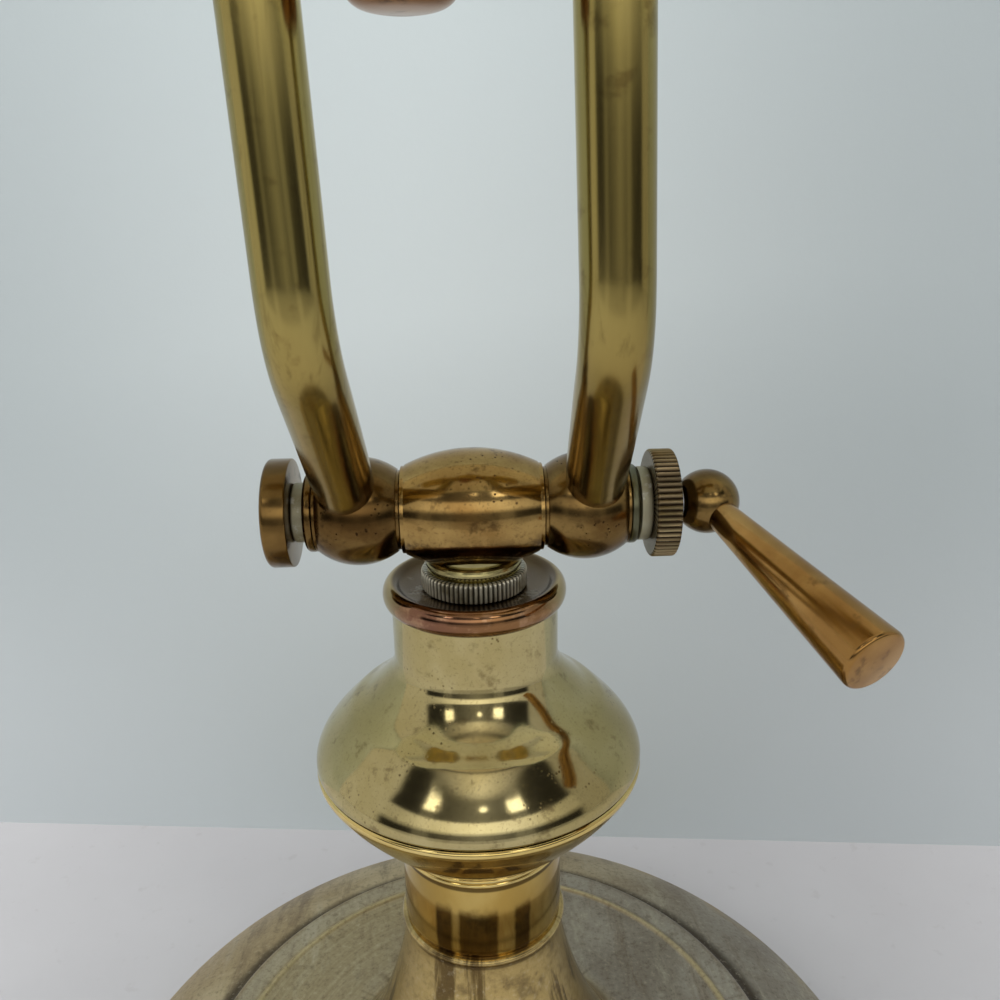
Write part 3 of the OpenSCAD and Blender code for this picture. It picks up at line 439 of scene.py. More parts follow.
tarnish = Finish("tarnished_base_brass")
x, y, z = tarnish.xyz()
out = (x * x + y * y).root()
blotch = tarnish.noise(26.0, 5.0, 0.6, twist=0.6)
fine = tarnish.noise(150.0, 4.0, 0.6)
ring_vector = tarnish.read("ShaderNodeCombineXYZ", None, [out * 0.35, z * 0.1, tarnish.noise(5.0) * 0.6])
brushed = tarnish.noise(2.2, 5.0, 0.7, vector=ring_vector)
scratch = tarnish.noise(38.0, 3.0, 0.6, vector=tarnish.scaled(1.0, 0.08, 0.3, turn=(0, 0, 0.7)))
streaks = tarnish.noise(64.0, 6.0, 0.75, vector=tarnish.scaled(1.0, 0.16, 0.4, turn=(0, 0, 0.55)), twist=0.15)
swirl = tarnish.noise(1.0, 5.0, 0.7, vector=tarnish.read("ShaderNodeCombineXYZ", None, [out * 0.9, y.turn_from(x) * 1.6, z * 0.1]))
grey_brass = tarnish.mix(blotch.step(0.35, 0.65), paint(146, 136, 120), paint(170, 162, 146))
# Painted sheen: the left side of the plateau and band is painted a brushed gold.
left_gold_sheen = tarnish.mix(brushed.step(0.3, 0.7), paint(168, 152, 116), paint(184, 169, 134))
left_sheen_mask = (blotch * 90.0 - x).step(10.0, 85.0) * out.step(97.0, 72.0)
# Painted sheen: the far side of the sloping band is painted a paler gold.
far_side_sheen = ((y - x) * 0.7).step(-20.0, 60.0) * out.step(79.0, 83.0)
colour = tarnish.mix(left_sheen_mask, grey_brass, left_gold_sheen)
colour = tarnish.mix(far_side_sheen, colour, tarnish.mix(blotch.step(0.38, 0.6), paint(186, 164, 124), paint(208, 190, 152)))
colour = tarnish.mix(streaks.step(0.48, 0.64) * 0.55, colour, paint(120, 100, 76))
colour = tarnish.mix(streaks.step(0.46, 0.3) * 0.5, colour, paint(206, 198, 172))
colour = tarnish.mix(swirl.step(0.54, 0.68) * 0.14, colour, paint(196, 186, 158))
colour = tarnish.mix(out.step(44.0, 34.0), colour, tarnish.mix(brushed, paint(176, 152, 96), paint(198, 174, 116)))
# Dark upright runs on the trumpet: tarnish, and painted reflection streaks of the kind its mirror-bright flare shows.
tarnish_and_mirror_streaks = tarnish.noise(1.0, 4.0, 0.6, vector=tarnish.read("ShaderNodeCombineXYZ", None, [y.turn_from(x) * 4.5, z * 0.02, 1.7]))
colour = tarnish.mix(out.step(50.0, 38.0) * tarnish_and_mirror_streaks.step(0.52, 0.62) * 0.8, colour, paint(82, 62, 32))
# Painted shadow: a dark line in the nook under the trumpet's rolled lip.
colour = tarnish.mix(z.band(TRUMPET_TOP - 2.5, 0.5, 0.7) * 0.7, colour, paint(66, 48, 26))
colour = tarnish.mix(out.step(60.0, 38.0) * fine.step(0.5, 0.66) * 0.4, colour, paint(92, 74, 48))
# Painted shade: the cove between the sloping band and the plateau's edge is darkened.
groove = out.step(79.6, 80.6) * out.step(88.5, 84.4) * z.step(27.6, 26.6)
colour = tarnish.mix(groove * (0.6 + blotch * 0.5).clamp(), colour, paint(58, 47, 34))
colour = tarnish.mix(out.band(76.6, 2.0, 1.0) * 0.22, colour, paint(206, 200, 182))
colour = tarnish.mix(out.band(72.4, 0.5, 0.9) * (0.3 + blotch * 0.6), colour, paint(204, 186, 138))
colour = tarnish.mix(fine.step(0.6, 0.74) * 0.4, colour, paint(98, 84, 60))
grain = tarnish.noise(620.0, 4.0, 0.75)
colour = tarnish.mix(grain.step(0.5, 0.68) * 0.38, colour, paint(92, 76, 56))
colour = tarnish.mix(grain.step(0.46, 0.3) * 0.25, colour, paint(226, 214, 184))
colour = tarnish.mix(out.step(103.0, 110.0) * blotch.step(0.5, 0.62) * 0.6, colour, paint(176, 150, 100))
base_roughness = 0.36 + blotch * 0.16 - out.step(44.0, 32.0) * 0.23 + scratch.step(0.6, 0.7) * 0.1
base_finish = tarnish.principled(Base_Color=colour, Metallic=0.92, Roughness=base_roughness,
                                 Normal=tarnish.bump(brushed * 0.5 + scratch * 0.35 + fine * 0.2, 0.16, 0.4))
dress(base_shell, base_finish, "base", "base_brass", "base_shell")


def brass(name, pale_tone, deep_tone, grime_tone, shine=0.16, grime=0.35, pits=0.0, line_axis="z", lines=0.15, blotch_scale=40.0, metallic=1.0, under=0.0):
    """Aged brass: two tones in soft blotches, darker grime in thresholded noise, dark pits in small cells,
    and fine turning lines across the axis that also roughen the surface; under adds dark brown patches below the pivot."""
    f = Finish(name)
    cloud = f.noise(blotch_scale, 5.0, 0.6, twist=0.4)
    spots = f.noise(blotch_scale * 4.5, 4.0, 0.65)
    stretch = {"z": (0.06, 0.06, 1.0), "x": (1.0, 0.06, 0.06)}[line_axis]
    turning_lines = f.noise(900.0, 3.0, 0.6, vector=f.scaled(*stretch))
    tone = f.mix(cloud.step(0.3, 0.7), pale_tone, deep_tone)
    stain = spots.step(0.62 - 0.1 * grime, 0.82 - 0.2 * grime)
    tone = f.mix(stain * grime, tone, grime_tone)
    if under:
        patches = f.noise(240.0, 5.0, 0.8).step(0.4, 0.56) * f.xyz()[2].step(PIVOT - 1.0, PIVOT - 7.0)
        tone = f.mix(patches * under, tone, grime_tone)
    rough = shine + cloud * 0.06 + stain * 0.14 * grime + turning_lines * 0.05
    height = turning_lines * lines
    if pits:
        holes = f.cells(760.0).step(0.26, 0.12) * f.noise(60.0).step(0.5, 0.62)
        sand = f.noise(1500.0, 3.0, 0.7)
        tone = f.mix((holes + sand.step(0.54, 0.7) * 0.4).clamp() * pits, tone, grime_tone)
        rough = rough + holes * 0.2 + sand * 0.06 * pits
        height = height - holes * 0.6 + sand * 0.3 * pits
    return f.principled(Base_Color=tone, Metallic=metallic, Roughness=rough, Normal=f.bump(height, 0.2, 0.06))


# Column: a drawn tube sleeve between two turned lines, and an onion pressed in two halves that
# meet at a crease. The upper half carries the neck. All stand on the trumpet's rolled lip.

SLEEVE_TOP = PIVOT - 86.2
sleeve_line = np.vstack([
    [[SLEEVE_R - 0.5, TRUMPET_TOP]],
    bow((SLEEVE_R - 0.4, TRUMPET_TOP + 0.4), (SLEEVE_R, TRUMPET_TOP + 0.8), (SLEEVE_R, TRUMPET_TOP + 2.4), 8),
    [[SLEEVE_R, SLEEVE_TOP], [SLEEVE_R - 2.2, SLEEVE_TOP], [SLEEVE_R - 2.2, TRUMPET_TOP]]])
sleeve = turned("column_tube", sleeve_line, loop=True)
lacquered = Finish("deep_gold_brass")
x, y, z = lacquered.xyz()
around = x.turn_from(-y)
ragged = lacquered.noise(240.0, 4.0, 0.6)
wavy = around * (180 / math.pi) + (ragged - 0.5) * 3.0 + lacquered.noise(40.0) * 4.0 - 2.0
gold = lacquered.mix(lacquered.noise(50.0).step(0.35, 0.65), paint(204, 176, 104), paint(184, 152, 80))
# Painted reflection: dark upright bars with a brown core, at given angles round the sleeve and strongest at the front,
# stand for the base and table that the tube mirrors.
mirror_bands = sum((wavy.band(at, half, 3.0) for at, half in ((-4, 12), (28, 4.5), (76, 8), (112, 4), (151, 11), (-81, 6), (-122, 10), (-163, 5))), wavy.band(-28.5, 4.5, 3.0))
painted_reflection_bars = mirror_bands.clamp() * (z + ragged * 5.0).step(102.6, 99.0) * (0.35 + abs(around).step(0.95, 0.7) * 0.65)
reflection_bar_tone = lacquered.mix(ragged.step(0.35, 0.65) * z.step(84.0, 97.0), paint(96, 68, 24), paint(42, 27, 9))
gold = lacquered.mix(painted_reflection_bars * 0.9, gold, reflection_bar_tone)
gold = lacquered.mix(z.band(SLEEVE_TOP - 0.6, 0.5, 0.5) * 0.8, gold, paint(58, 38, 16))
sleeve_finish = lacquered.principled(Base_Color=gold, Metallic=1.0, Roughness=0.05 + ragged * 0.04,
                                     Normal=lacquered.bump(ragged, 0.08, 0.05))
dress(sleeve, sleeve_finish, "base", "sleeve_brass", "column_sleeve")

ONION_R, CREASE, FINE_RING = 38.7, PIVOT - 60.9, 1.2
foot_r = SLEEVE_R + 0.3
foot_top = SLEEVE_TOP + 3 * FINE_RING
cove_z = SLEEVE_TOP + 5.3
bowl_w, bowl_h = ONION_R - SLEEVE_R, CREASE - cove_z
ring_marks = np.add.outer(SLEEVE_TOP + FINE_RING * np.arange(3), FINE_RING * np.array([0, 0.15, 0.35, 0.65, 0.85])).ravel()
ring_radii = np.tile(foot_r + np.array([0, 0.24, 0.34, 0.34, 0.24]), 3)
lower_line = np.vstack([
    np.stack([ring_radii, ring_marks], 1),
    bow((foot_r, foot_top), (SLEEVE_R + 0.05 * bowl_w, cove_z - 0.06 * bowl_h), (SLEEVE_R + 0.2 * bowl_w, cove_z), 14),
    bow((SLEEVE_R + 0.23 * bowl_w, cove_z + 0.025 * bowl_h), (ONION_R - 0.19 * bowl_w, CREASE - 0.43 * bowl_h),
        (ONION_R - 0.2, CREASE - 0.11 * bowl_h), 30),
    bow((ONION_R, CREASE - 1.6), (ONION_R + 0.1, CREASE - 0.7), (ONION_R - 0.5, CREASE - 0.35), 8)])
lower_inner = beside(lower_line, SHELL_T)[::-1]
lower_inner[:, 1] = np.maximum(lower_inner[:, 1], SLEEVE_TOP)
bowl = turned("onion_lower", np.vstack([lower_line, lower_inner]), sides=224, loop=True)
bowl_finish = brass("bowl_brass", paint(230, 206, 138), paint(212, 184, 110), paint(112, 80, 38), shine=0.04, grime=0.25)
dress(bowl, bowl_finish, "base", "vase_lower_brass", "vase_lower")

NECK_R, NECK_TOP = 19.0, PIVOT - 22.4
# How far the dome's surface tips from upright, in degrees, at depths below the pivot, as its mirror lines show;
# its radius is the neck's plus the sum of tan(tip) over the depth, so the spinning's faint waves are in it.
tip_depth = (34.3, 35.1, 36.0, 36.7, 37.1, 37.5, 37.9, 38.6, 39.2, 39.9, 40.7, 41.4, 42.2, 43.0, 43.8, 44.4,
             45.0, 45.6, 46.2, 46.7, 47.1, 47.5, 48.2, 48.9, 50.3, 51.7, 53.1, 54.7, 56.0, 57.0, 58.0, 58.8, 59.4)
tip_angle = (0.0, 8.0, 13.7, 18.4, 22.4, 27.4, 31.5, 34.1, 36.2, 38.4, 41.0, 42.8, 44.2, 45.4, 47.1, 49.6,
             54.8, 58.0, 58.1, 55.8, 50.5, 46.2, 44.7, 44.3, 43.8, 42.9, 39.9, 34.8, 29.0, 24.7, 18.9, 11.5, 3.8)
depth = np.linspace(tip_depth[0], tip_depth[-1], 151)
tip = np.convolve(np.pad(np.interp(depth, tip_depth, tip_angle), 2, "edge"), np.ones(5) / 5, "valid")
dome_r = NECK_R + np.r_[0, np.cumsum(np.tan(np.radians(tip[1:] + tip[:-1]) / 2) * np.diff(depth))]
upper_line = np.vstack([
    bow((ONION_R - 0.6, CREASE), (dome_r[-1] + 0.1, CREASE + 0.3), (dome_r[-1], CREASE + 1.2), 8),
    np.stack([dome_r, PIVOT - depth], 1)[::-1],
    [[NECK_R, NECK_TOP]]])
dome = turned("onion_upper", np.vstack([upper_line, beside(upper_line, SHELL_T)[::-1]]), sides=224, loop=True)
dome_finish = brass("dome_brass", paint(196, 182, 134), paint(176, 160, 108), paint(92, 70, 38), shine=0.02, grime=0.5, pits=0.7, lines=0.05)
dress(dome, dome_finish, "base", "vase_upper_brass", "vase_upper")

# Collar: turned from bar, plugged into the neck, with a round bead and a slightly dished top on which the
# lock ring runs. Its front is painted a coppery purple-brown, worn polish and painted reflection together, with pale
# painted glints.

COLLAR_R, COLLAR_TOP, BEAD_H, BEAD_RX = 20.9, PIVOT - 18.4, 5.8, 2.1
bead_c = (COLLAR_R - BEAD_RX, NECK_TOP + 0.2 + BEAD_H / 2)
RING_R, RING_H, SPIGOT_R = 12.0, 4.4, 8.0
collar_line = np.vstack([
    [[SPIGOT_R + 0.05, NECK_TOP + 0.05], [NECK_R + 0.03, NECK_TOP + 0.05]],
    round_part(bead_c, BEAD_RX, BEAD_H / 2, -74, 118, 34),
    bow((bead_c[0] - 1.5, bead_c[1] + 0.36 * BEAD_H), (bead_c[0] - 2.2, COLLAR_TOP + 0.1), (RING_R + 0.8, COLLAR_TOP), 14),
    [[SPIGOT_R + 0.05, COLLAR_TOP]]])
collar = turned("collar_bead", collar_line, loop=True)
worn = Finish("coppery_collar_brass")
x, y, z = worn.xyz()
out = (x * x + y * y).root()
cloud = worn.noise(60.0, 5.0, 0.6, twist=0.5)
speck_and_glint = worn.noise(260.0, 4.0, 0.65)
front = y.step(-7.0, -16.0)
tone = worn.mix(cloud.step(0.3, 0.7), paint(178, 158, 112), paint(150, 130, 88))
# Worn polish with painted reflection: the front half is painted coppery brown.
tone = worn.mix(front * (0.75 + cloud * 0.5).clamp(), tone, worn.mix((x + cloud * 8.0).step(-6.0, 10.0), paint(130, 92, 72), paint(142, 104, 68)))
# Painted highlight: pale glints among the specks at the front.
tone = worn.mix(front * speck_and_glint.step(0.5, 0.68) * 0.6, tone, paint(186, 148, 116))
dish = out.step(19.4, 18.2) * z.step(NECK_TOP + 2.0, NECK_TOP + 3.6)
tone = worn.mix(dish * 0.85, tone, paint(62, 46, 34))
deposit = dish * worn.noise(120.0, 5.0, 0.7).step(0.56, 0.66) * out.step(16.6, 14.6)
tone = worn.mix(deposit * 0.8, tone, paint(176, 170, 154))
tone = worn.mix(speck_and_glint.step(0.66, 0.76) * 0.4, tone, paint(70, 50, 34))
collar_finish = worn.principled(Base_Color=tone, Metallic=1.0 - deposit * 0.7, Roughness=0.08 + cloud * 0.08 + dish * 0.14 + deposit * 0.3,
                                Normal=worn.bump(speck_and_glint * 0.5 + deposit, 0.2, 0.08))
dress(collar, collar_finish, "base", "collar_brass", "collar_cup")


# Lock ring and stem: the ring is straight-knurled and runs on the stem; the stem turns in the collar and
# its upper end is hollowed to cradle the barrel, to which it is brazed.


def knurled(name, radius, depth, teeth, low, high, hole, chamfer=0.6, axis="z", centre=(0, 0, 0)):
    """A straight-knurled ring: the radius is cut by depth * |saw(teeth * angle)| between rounded edges."""
    per_tooth = 6
    sides = teeth * per_tooth
    line = np.vstack([
        [[hole, low], [radius - chamfer - 0.2, low]],
        bow((radius - chamfer, low + 0.02), (radius - 0.08, low + 0.1), (radius, low + chamfer), 5),
        bow((radius, high - chamfer), (radius - 0.08, high - 0.1), (radius - chamfer, high - 0.02), 5),
        [[radius - chamfer - 0.2, high], [hole, high]]])

    def cut(angle, r, h):
        saw = np.abs(((angle * teeth / (2 * np.pi)) % 1.0) * 2 - 1)
        edge = np.clip((r - (radius - chamfer)) / chamfer, 0, 1)
        return -depth * edge * np.clip(1.25 * saw - 0.1, 0, 1)

    return turned(name, line, axis, centre, sides, loop=True, sharp=28, swell=cut)


def knurl_brass(name, ridge_tone, groove_tone, teeth, axis="z", metallic=1.0):
    """Knurled brass: the ridges, found by |saw(teeth * angle)| as in the cut, are rubbed bright and the grooves hold dirt."""
    f = Finish(name)
    x, y, z = f.xyz()
    turns = (y.turn_from(x) if axis == "z" else (z - PIVOT).turn_from(y)) * (teeth / (2 * math.pi))
    saw = abs(turns.maths("FRACT", turns) * 2.0 - 1.0)
    wear = f.noise(130.0, 4.0, 0.6)
    groove = (saw * 1.25 - 0.2 + wear * 0.25).clamp()
    tone = f.mix(groove, f.mix(wear.step(0.42, 0.7), ridge_tone, paint(150, 138, 104)), groove_tone)
    return f.principled(Base_Color=tone, Metallic=metallic, Roughness=0.22 + wear * 0.1 + groove * 0.2, Normal=f.bump(wear, 0.12, 0.05))


RING_Z = COLLAR_TOP + 0.1
ring = knurled("knurled_lock_ring", RING_R, 0.5, 67, RING_Z, RING_Z + RING_H, SPIGOT_R + 0.05)
ring_finish = knurl_brass("dark_knurl_brass", paint(236, 230, 206), paint(52, 44, 30), 67, metallic=0.6)
dress(ring, ring_finish, "lock_ring", "ring_brass", "lock_ring")

stem_finish = brass("greenish_brass", paint(166, 156, 110), paint(138, 126, 84), paint(70, 60, 36), shine=0.14, grime=0.6)
nodes["swivel_stem"].data.materials.clear()
nodes["swivel_stem"].data.materials.append(stem_finish)

# Knuckle: a swollen barrel between two hubs on one clamp bolt, all turned from brass bar along the bolt.
# Handling has browned and mottled them, and small pits catch the light.

BARREL_R, BARREL_END, BARREL_L = 13.4, 9.7, 31.1
ARM_X, HUB_R, HUB_END, HUB_L = 26.6, 12.0, 8.8, 18.6
HUB_X = BARREL_L / 2 + 0.1 + HUB_L / 2
BOLT_HOLE = 4.05


def swollen(middle, end, length, land, n=40):
    """Profile along the bolt: an arc from end to middle to end, between two short lands and a bore."""
    half, sag = length / 2 - land, middle - end - 0.3
    big = (half ** 2 + sag ** 2) / (2 * sag)
    a = math.degrees(math.asin(half / big))
    arc = round_part((middle - big, 0), big, big, -a, a, n)
    return np.vstack([[[BOLT_HOLE, -length / 2], [end - 0.3, -length / 2]],
                      bow((end - 0.25, -length / 2), (end, -length / 2), (end, -length / 2 + 0.25), 4), [[end, -half]],
                      arc, [[end, half]], bow((end, length / 2 - 0.25), (end, length / 2), (end - 0.25, length / 2), 4),
                      [[end - 0.3, length / 2], [BOLT_HOLE, length / 2]]])


knuckle_finish = brass("mottled_brown_brass", paint(174, 144, 88), paint(134, 102, 55), paint(64, 42, 21), shine=0.05,
                       grime=0.6, pits=1.0, under=0.85, line_axis="x", blotch_scale=55.0)
hub_finish = brass("dark_hub_brass", paint(138, 112, 66), paint(92, 68, 36), paint(40, 27, 15), shine=0.1,
                   grime=0.6, pits=0.8, line_axis="x", blotch_scale=60.0)
barrel = turned("middle_barrel", swollen(BARREL_R, BARREL_END, BARREL_L, 0.9), "x", (0, 0, PIVOT), loop=True)
dress(barrel, knuckle_finish, "swivel", "knuckle_brass", "knuckle_barrel")
for side, sign in (("left", -1), ("right", 1)):
    hub = turned("hub_turning_" + side, swollen(HUB_R, HUB_END, HUB_L, 0.7), "x", (sign * HUB_X, 0, PIVOT), loop=True)
    dress(hub, hub_finish, "yoke", "knuckle_brass", "hub_" + side)


# Outside the hubs: chamfered rings, washers, a plain disc that is the bolt's head on the left, and a
# knurled thumb nut on the right. The washers are whitened by corrosion, the right one most.


def plate(name, sign, start, radius, thick, chamfer, centre=(0, 0, PIVOT)):
    """A turned plate along the bolt from start outwards, with its outer edge bevelled in a small arc."""
    line = np.vstack([[[BOLT_HOLE, 0], [radius - chamfer / 2, 0]],
                      bow((radius - chamfer / 3, 0.03), (radius, 0.03), (radius, chamfer / 2), 5),
                      bow((radius, thick - chamfer), (radius - 0.15, thick - 0.15), (radius - chamfer, thick), 7),
                      [[BOLT_HOLE, thick]]])
    line[:, 1] = sign * (start + line[:, 1])
    return turned(name, line, "x", centre, loop=True)


END_T, WASHER_T, KNOB_R, KNOB_T = 2.0, 2.6, 12.0, 5.4
END_X = HUB_X + HUB_L / 2 + 0.1
WASHER_X = END_X + END_T + 0.1
KNOB_X = WASHER_X + WASHER_T + 0.1
disc_finish = brass("streaky_disc_brass", paint(134, 106, 60), paint(92, 68, 36), paint(48, 32, 17), shine=0.14, grime=0.6, line_axis="x")
green_finish = brass("dull_green_brass", paint(108, 106, 82), paint(88, 88, 70), paint(48, 46, 34), shine=0.26, grime=0.6, line_axis="x")
chalk_finish = brass("whitened_brass", paint(176, 172, 148), paint(150, 142, 112), paint(214, 214, 204), shine=0.4, grime=0.9, line_axis="x", metallic=0.6)
dress(plate("end_ring_turning_left", -1, END_X, HUB_END, END_T, 0.9), hub_finish, "yoke", "knuckle_brass", "end_ring_left")
dress(plate("end_ring_turning_right", 1, END_X, HUB_END, END_T, 0.9), green_finish, "yoke", "dark_ring", "end_ring_right")
dress(plate("washer_turning_left", -1, WASHER_X, 6.6, WASHER_T, 0.4), chalk_finish, "yoke", "disc_brass", "washer_left")
dress(plate("washer_turning_right", 1, WASHER_X, 8.2, WASHER_T, 0.6), chalk_finish, "yoke", "corroded_washer", "washer_right")
dress(plate("bolt_head_disc", -1, KNOB_X, KNOB_R, KNOB_T, 0.9), disc_finish, "yoke", "disc_brass", "head_disc")

BALL_R = 7.2
BALL_X = KNOB_X + KNOB_T + 7.8
nut_finish = knurl_brass("grey_knurl_brass", paint(150, 132, 100), paint(54, 43, 30), 57, "x")
thumb = knurled("knurled_thumb_nut", KNOB_R, 0.5, 57, KNOB_X, KNOB_X + KNOB_T, 5.4, axis="x", centre=(0, 0, PIVOT))
dress(thumb, nut_finish, "thumb_nut", "nut_brass", "thumb_nut")

# Lever: a brass ball on the bolt's end and a tapered copper-brown handle screwed into it, cut off flat.

lever_side, lever_down, LEVER_L = math.radians(21.5), math.radians(18), 53.8
lever_way = np.array([math.sin(lever_side), -math.cos(lever_side) * math.cos(lever_down), -math.cos(lever_side) * math.sin(lever_down)])
ball_line = np.vstack([[[0, -2.2], [BOLT_HOLE, -2.2]], round_part((0, 0), BALL_R, BALL_R, math.degrees(math.asin(BOLT_HOLE / BALL_R)) - 90, 90, 60)])
ball_line[0, 0] = ball_line[-1, 0] = 0
ball = turned("lever_ball_turning", ball_line, "x", (BALL_X, 0, PIVOT), sides=120)
dress(ball, hub_finish, "lever", "knuckle_brass", "lever_ball")

handle_finish = brass("copper_brown_brass", paint(190, 150, 90), paint(146, 106, 56), paint(72, 46, 24), shine=0.12, grime=0.55)
handle_line = np.vstack([[[0, 4.6], [3.5, 4.6], [3.5, BALL_R + 0.4]], [[6.9, LEVER_L - 1.1]],
                         bow((6.9, LEVER_L - 1.1), (6.85, LEVER_L - 0.1), (6.0, LEVER_L), 6), [[0, LEVER_L]]])
handle = turned("lever_taper", handle_line, sides=128)
mesh = handle.data
points = np.empty(len(mesh.vertices) * 3)
mesh.vertices.foreach_get("co", points)
points = points.reshape(-1, 3)
across_a = np.cross(lever_way, (0, 0, 1.0))
across_a /= np.linalg.norm(across_a)
across_b = np.cross(lever_way, across_a)
turned_points = points @ np.stack([across_a, -across_b, lever_way]) + in_metres((BALL_X, 0, PIVOT))
mesh.vertices.foreach_set("co", turned_points.ravel())
mesh.update()
outwards(handle)
dress(handle, handle_finish, "lever", "handle_copper", "lever_handle")

# Arms: half-inch brass tube, bent once in a jig and pressed into the hubs, polished along its length.

ARM_D, ARM_T, ARM_ANGLE, ARM_LOW, BEND_R, ARM_LEAN, ARM_RISE = 12.7, 1.2, math.radians(43), 47.5, 27.0, math.radians(1.9), 129.0
bend_start = ARM_LOW * np.array([-math.sin(ARM_ANGLE), math.cos(ARM_ANGLE)])
bend_centre = bend_start + BEND_R * np.array([math.cos(ARM_ANGLE), math.sin(ARM_ANGLE)])
ARM_Y = bend_centre[0] - BEND_R
ARM_TOP = ARM_RISE - 7.2 - 0.1
HEAD = np.array([-ARM_RISE * math.sin(ARM_LEAN), ARM_Y, PIVOT + ARM_RISE * math.cos(ARM_LEAN)])


def leaned(points, sign):
    """Puts points of an arm, drawn upright from the knuckle's pivot, onto its leaning place at one side."""
    c, s = math.cos(ARM_LEAN), math.sin(ARM_LEAN)
    turn = np.array([[c, 0, -s], [0, 1, 0], [s, 0, c]])
    return points @ turn.T + np.array([sign * ARM_X, 0, PIVOT])


def tube_along(name, path, radius, wall, sides, place, oval=0.0):
    """A tube whose rings stand square to a path: p(u, v) = path(v) + r ((1 + oval) cos u * X + (1 - oval) sin u * N(v)),
    outside and inside; oval is a number for each path point, because bending flattens a tube."""
    way = np.gradient(path, axis=0)
    way /= np.linalg.norm(way, axis=1)[:, None]
    normal = np.stack([0 * way[:, 0], -way[:, 2], way[:, 1]], 1)
    u = np.linspace(0, 2 * np.pi, sides, endpoint=False)[None, :, None]
    oval = (oval + 0 * path[:, 0])[:, None, None]
    ring = (1 + oval) * np.cos(u) * np.array([1.0, 0, 0]) + (1 - oval) * np.sin(u) * normal[:, None, :]
    skins = np.concatenate([path[:, None, :] + radius * ring, (path[:, None, :] + (radius - wall) * ring)[::-1]])
    piece = mesh_piece(name, place(skins.reshape(-1, 3)), grid_faces(len(skins), sides, True, True), 40)
    outwards(piece)
    return piece


low_way = np.array([0, -math.sin(ARM_ANGLE), math.cos(ARM_ANGLE)])
low_part = np.linspace(5.5, ARM_LOW, 30, endpoint=False)[:, None] * low_way
turn_angle = np.linspace(np.pi + ARM_ANGLE, np.pi, 40)
bend_part = np.stack([0 * turn_angle, bend_centre[0] + BEND_R * np.cos(turn_angle), bend_centre[1] + BEND_R * np.sin(turn_angle)], 1)
high_part = np.stack([0 * np.ones(40), ARM_Y * np.ones(40), np.linspace(bend_centre[1], ARM_TOP, 41)[1:]], 1)
arm_path = np.vstack([low_part, bend_part, high_part])

tube_brass = Finish("polished_tube_brass")
x, y, z = tube_brass.xyz()
cloud = tube_brass.noise(16.0, 4.0, 0.6, vector=tube_brass.scaled(1.0, 1.0, 0.3))
drawn = tube_brass.noise(520.0, 4.0, 0.65, vector=tube_brass.scaled(1.0, 1.0, 0.03))
spots = tube_brass.noise(170.0, 4.0, 0.6)
tone = tube_brass.mix(cloud.step(0.3, 0.7), paint(170, 154, 92), paint(148, 128, 70))
tone = tube_brass.mix(spots.step(0.56, 0.72) * 0.5, tone, paint(104, 80, 40))
tone = tube_brass.mix(z.step(PIVOT + 60.0, PIVOT + 20.0) * 0.45, tone, paint(150, 116, 58))
tone = tube_brass.mix(drawn.step(0.52, 0.7) * 0.45, tone, paint(116, 98, 54))
tube_finish = tube_brass.principled(Base_Color=tone, Metallic=1.0, Roughness=0.1 + cloud * 0.08 + drawn * 0.1,
                                    Normal=tube_brass.bump(drawn + spots * 0.4, 0.14, 0.05))
for side, sign in (("left", -1), ("right", 1)):
    arm = tube_along("arm_tube_" + side, arm_path, ARM_D / 2, ARM_T, 96, lambda p, s=sign: leaned(p, s), np.interp(arm_path[:, 2], (8, 12, 32, 50), (0, 0.035, 0.035, 0)))
    dress(arm, tube_finish, "yoke", "arm_brass", "arm_" + side)

# Head: not in the photograph but for its switch knob. Brass eyes on the arms carry a cross tube with the
# wiring body, two socket caps and shells, tubular bulbs and the turn switch.

head_finish = brass("head_brass_polish", paint(206, 180, 108), paint(186, 156, 82), paint(110, 76, 34), shine=0.13, grime=0.35, line_axis="x")
knob_finish = brass("copper_knob_polish", paint(160, 112, 70), paint(118, 78, 46), paint(60, 36, 22), shine=0.12, grime=0.6)
EYE_R, EYE_L, EYE_SEAT, CROSS_HOLE = 10.6, 17.0, 7.2, 6.05
TILT_NUT_R, TILT_NUT_T, CAP_L, SOCKET_R, SOCKET_L = 11.0, 5.0, 9.0, 17.0, 34.0
BULB_R, BULB_L, SCREW_R = 15.0, 64.0, 13.0
NUT_X = ARM_X + EYE_L / 2 + 0.1
CAP_X = NUT_X + TILT_NUT_T + 0.1
SHELL_X = CAP_X + CAP_L + 0.1
GLASS_X = SHELL_X + 1 + 5 + 0.1 + SOCKET_L - 7 + 0.1


def outward(profile, sign, start):
    """A profile along the cross tube, moved out to start and mirrored for the left side."""
    profile = np.array(profile, float)
    profile[:, 1] = sign * (start + profile[:, 1])
    return profile


eye_line = swollen(EYE_R, EYE_R - 1.6, EYE_L, 0.8)
eye_line[[0, -1], 0] = CROSS_HOLE
cap_outer = bow((CROSS_HOLE + 3.4, 0.2), (SOCKET_R, 0.8), (SOCKET_R, CAP_L - 3), 20)
cap_line = np.vstack([[[CROSS_HOLE, 0], [CROSS_HOLE + 3, 0]], cap_outer, [[SOCKET_R, CAP_L], [SOCKET_R - 1.4, CAP_L]],
                      bow((CROSS_HOLE + 3.4, 1.6), (SOCKET_R - 1.4, 2.2), (SOCKET_R - 1.4, CAP_L - 3), 20)[::-1], [[CROSS_HOLE, 1.4]]])
bead = round_part((SOCKET_R, SOCKET_L - 8), 0.8, 1.0, -90, 90, 10)
rolled = round_part((SOCKET_R, SOCKET_L - 1), 0.8, 0.95, -90, 90, 10)
shell_line = np.vstack([[[SOCKET_R - 0.9, 0], [SOCKET_R, 0]], bead, rolled, [[SOCKET_R - 0.9, SOCKET_L]]])
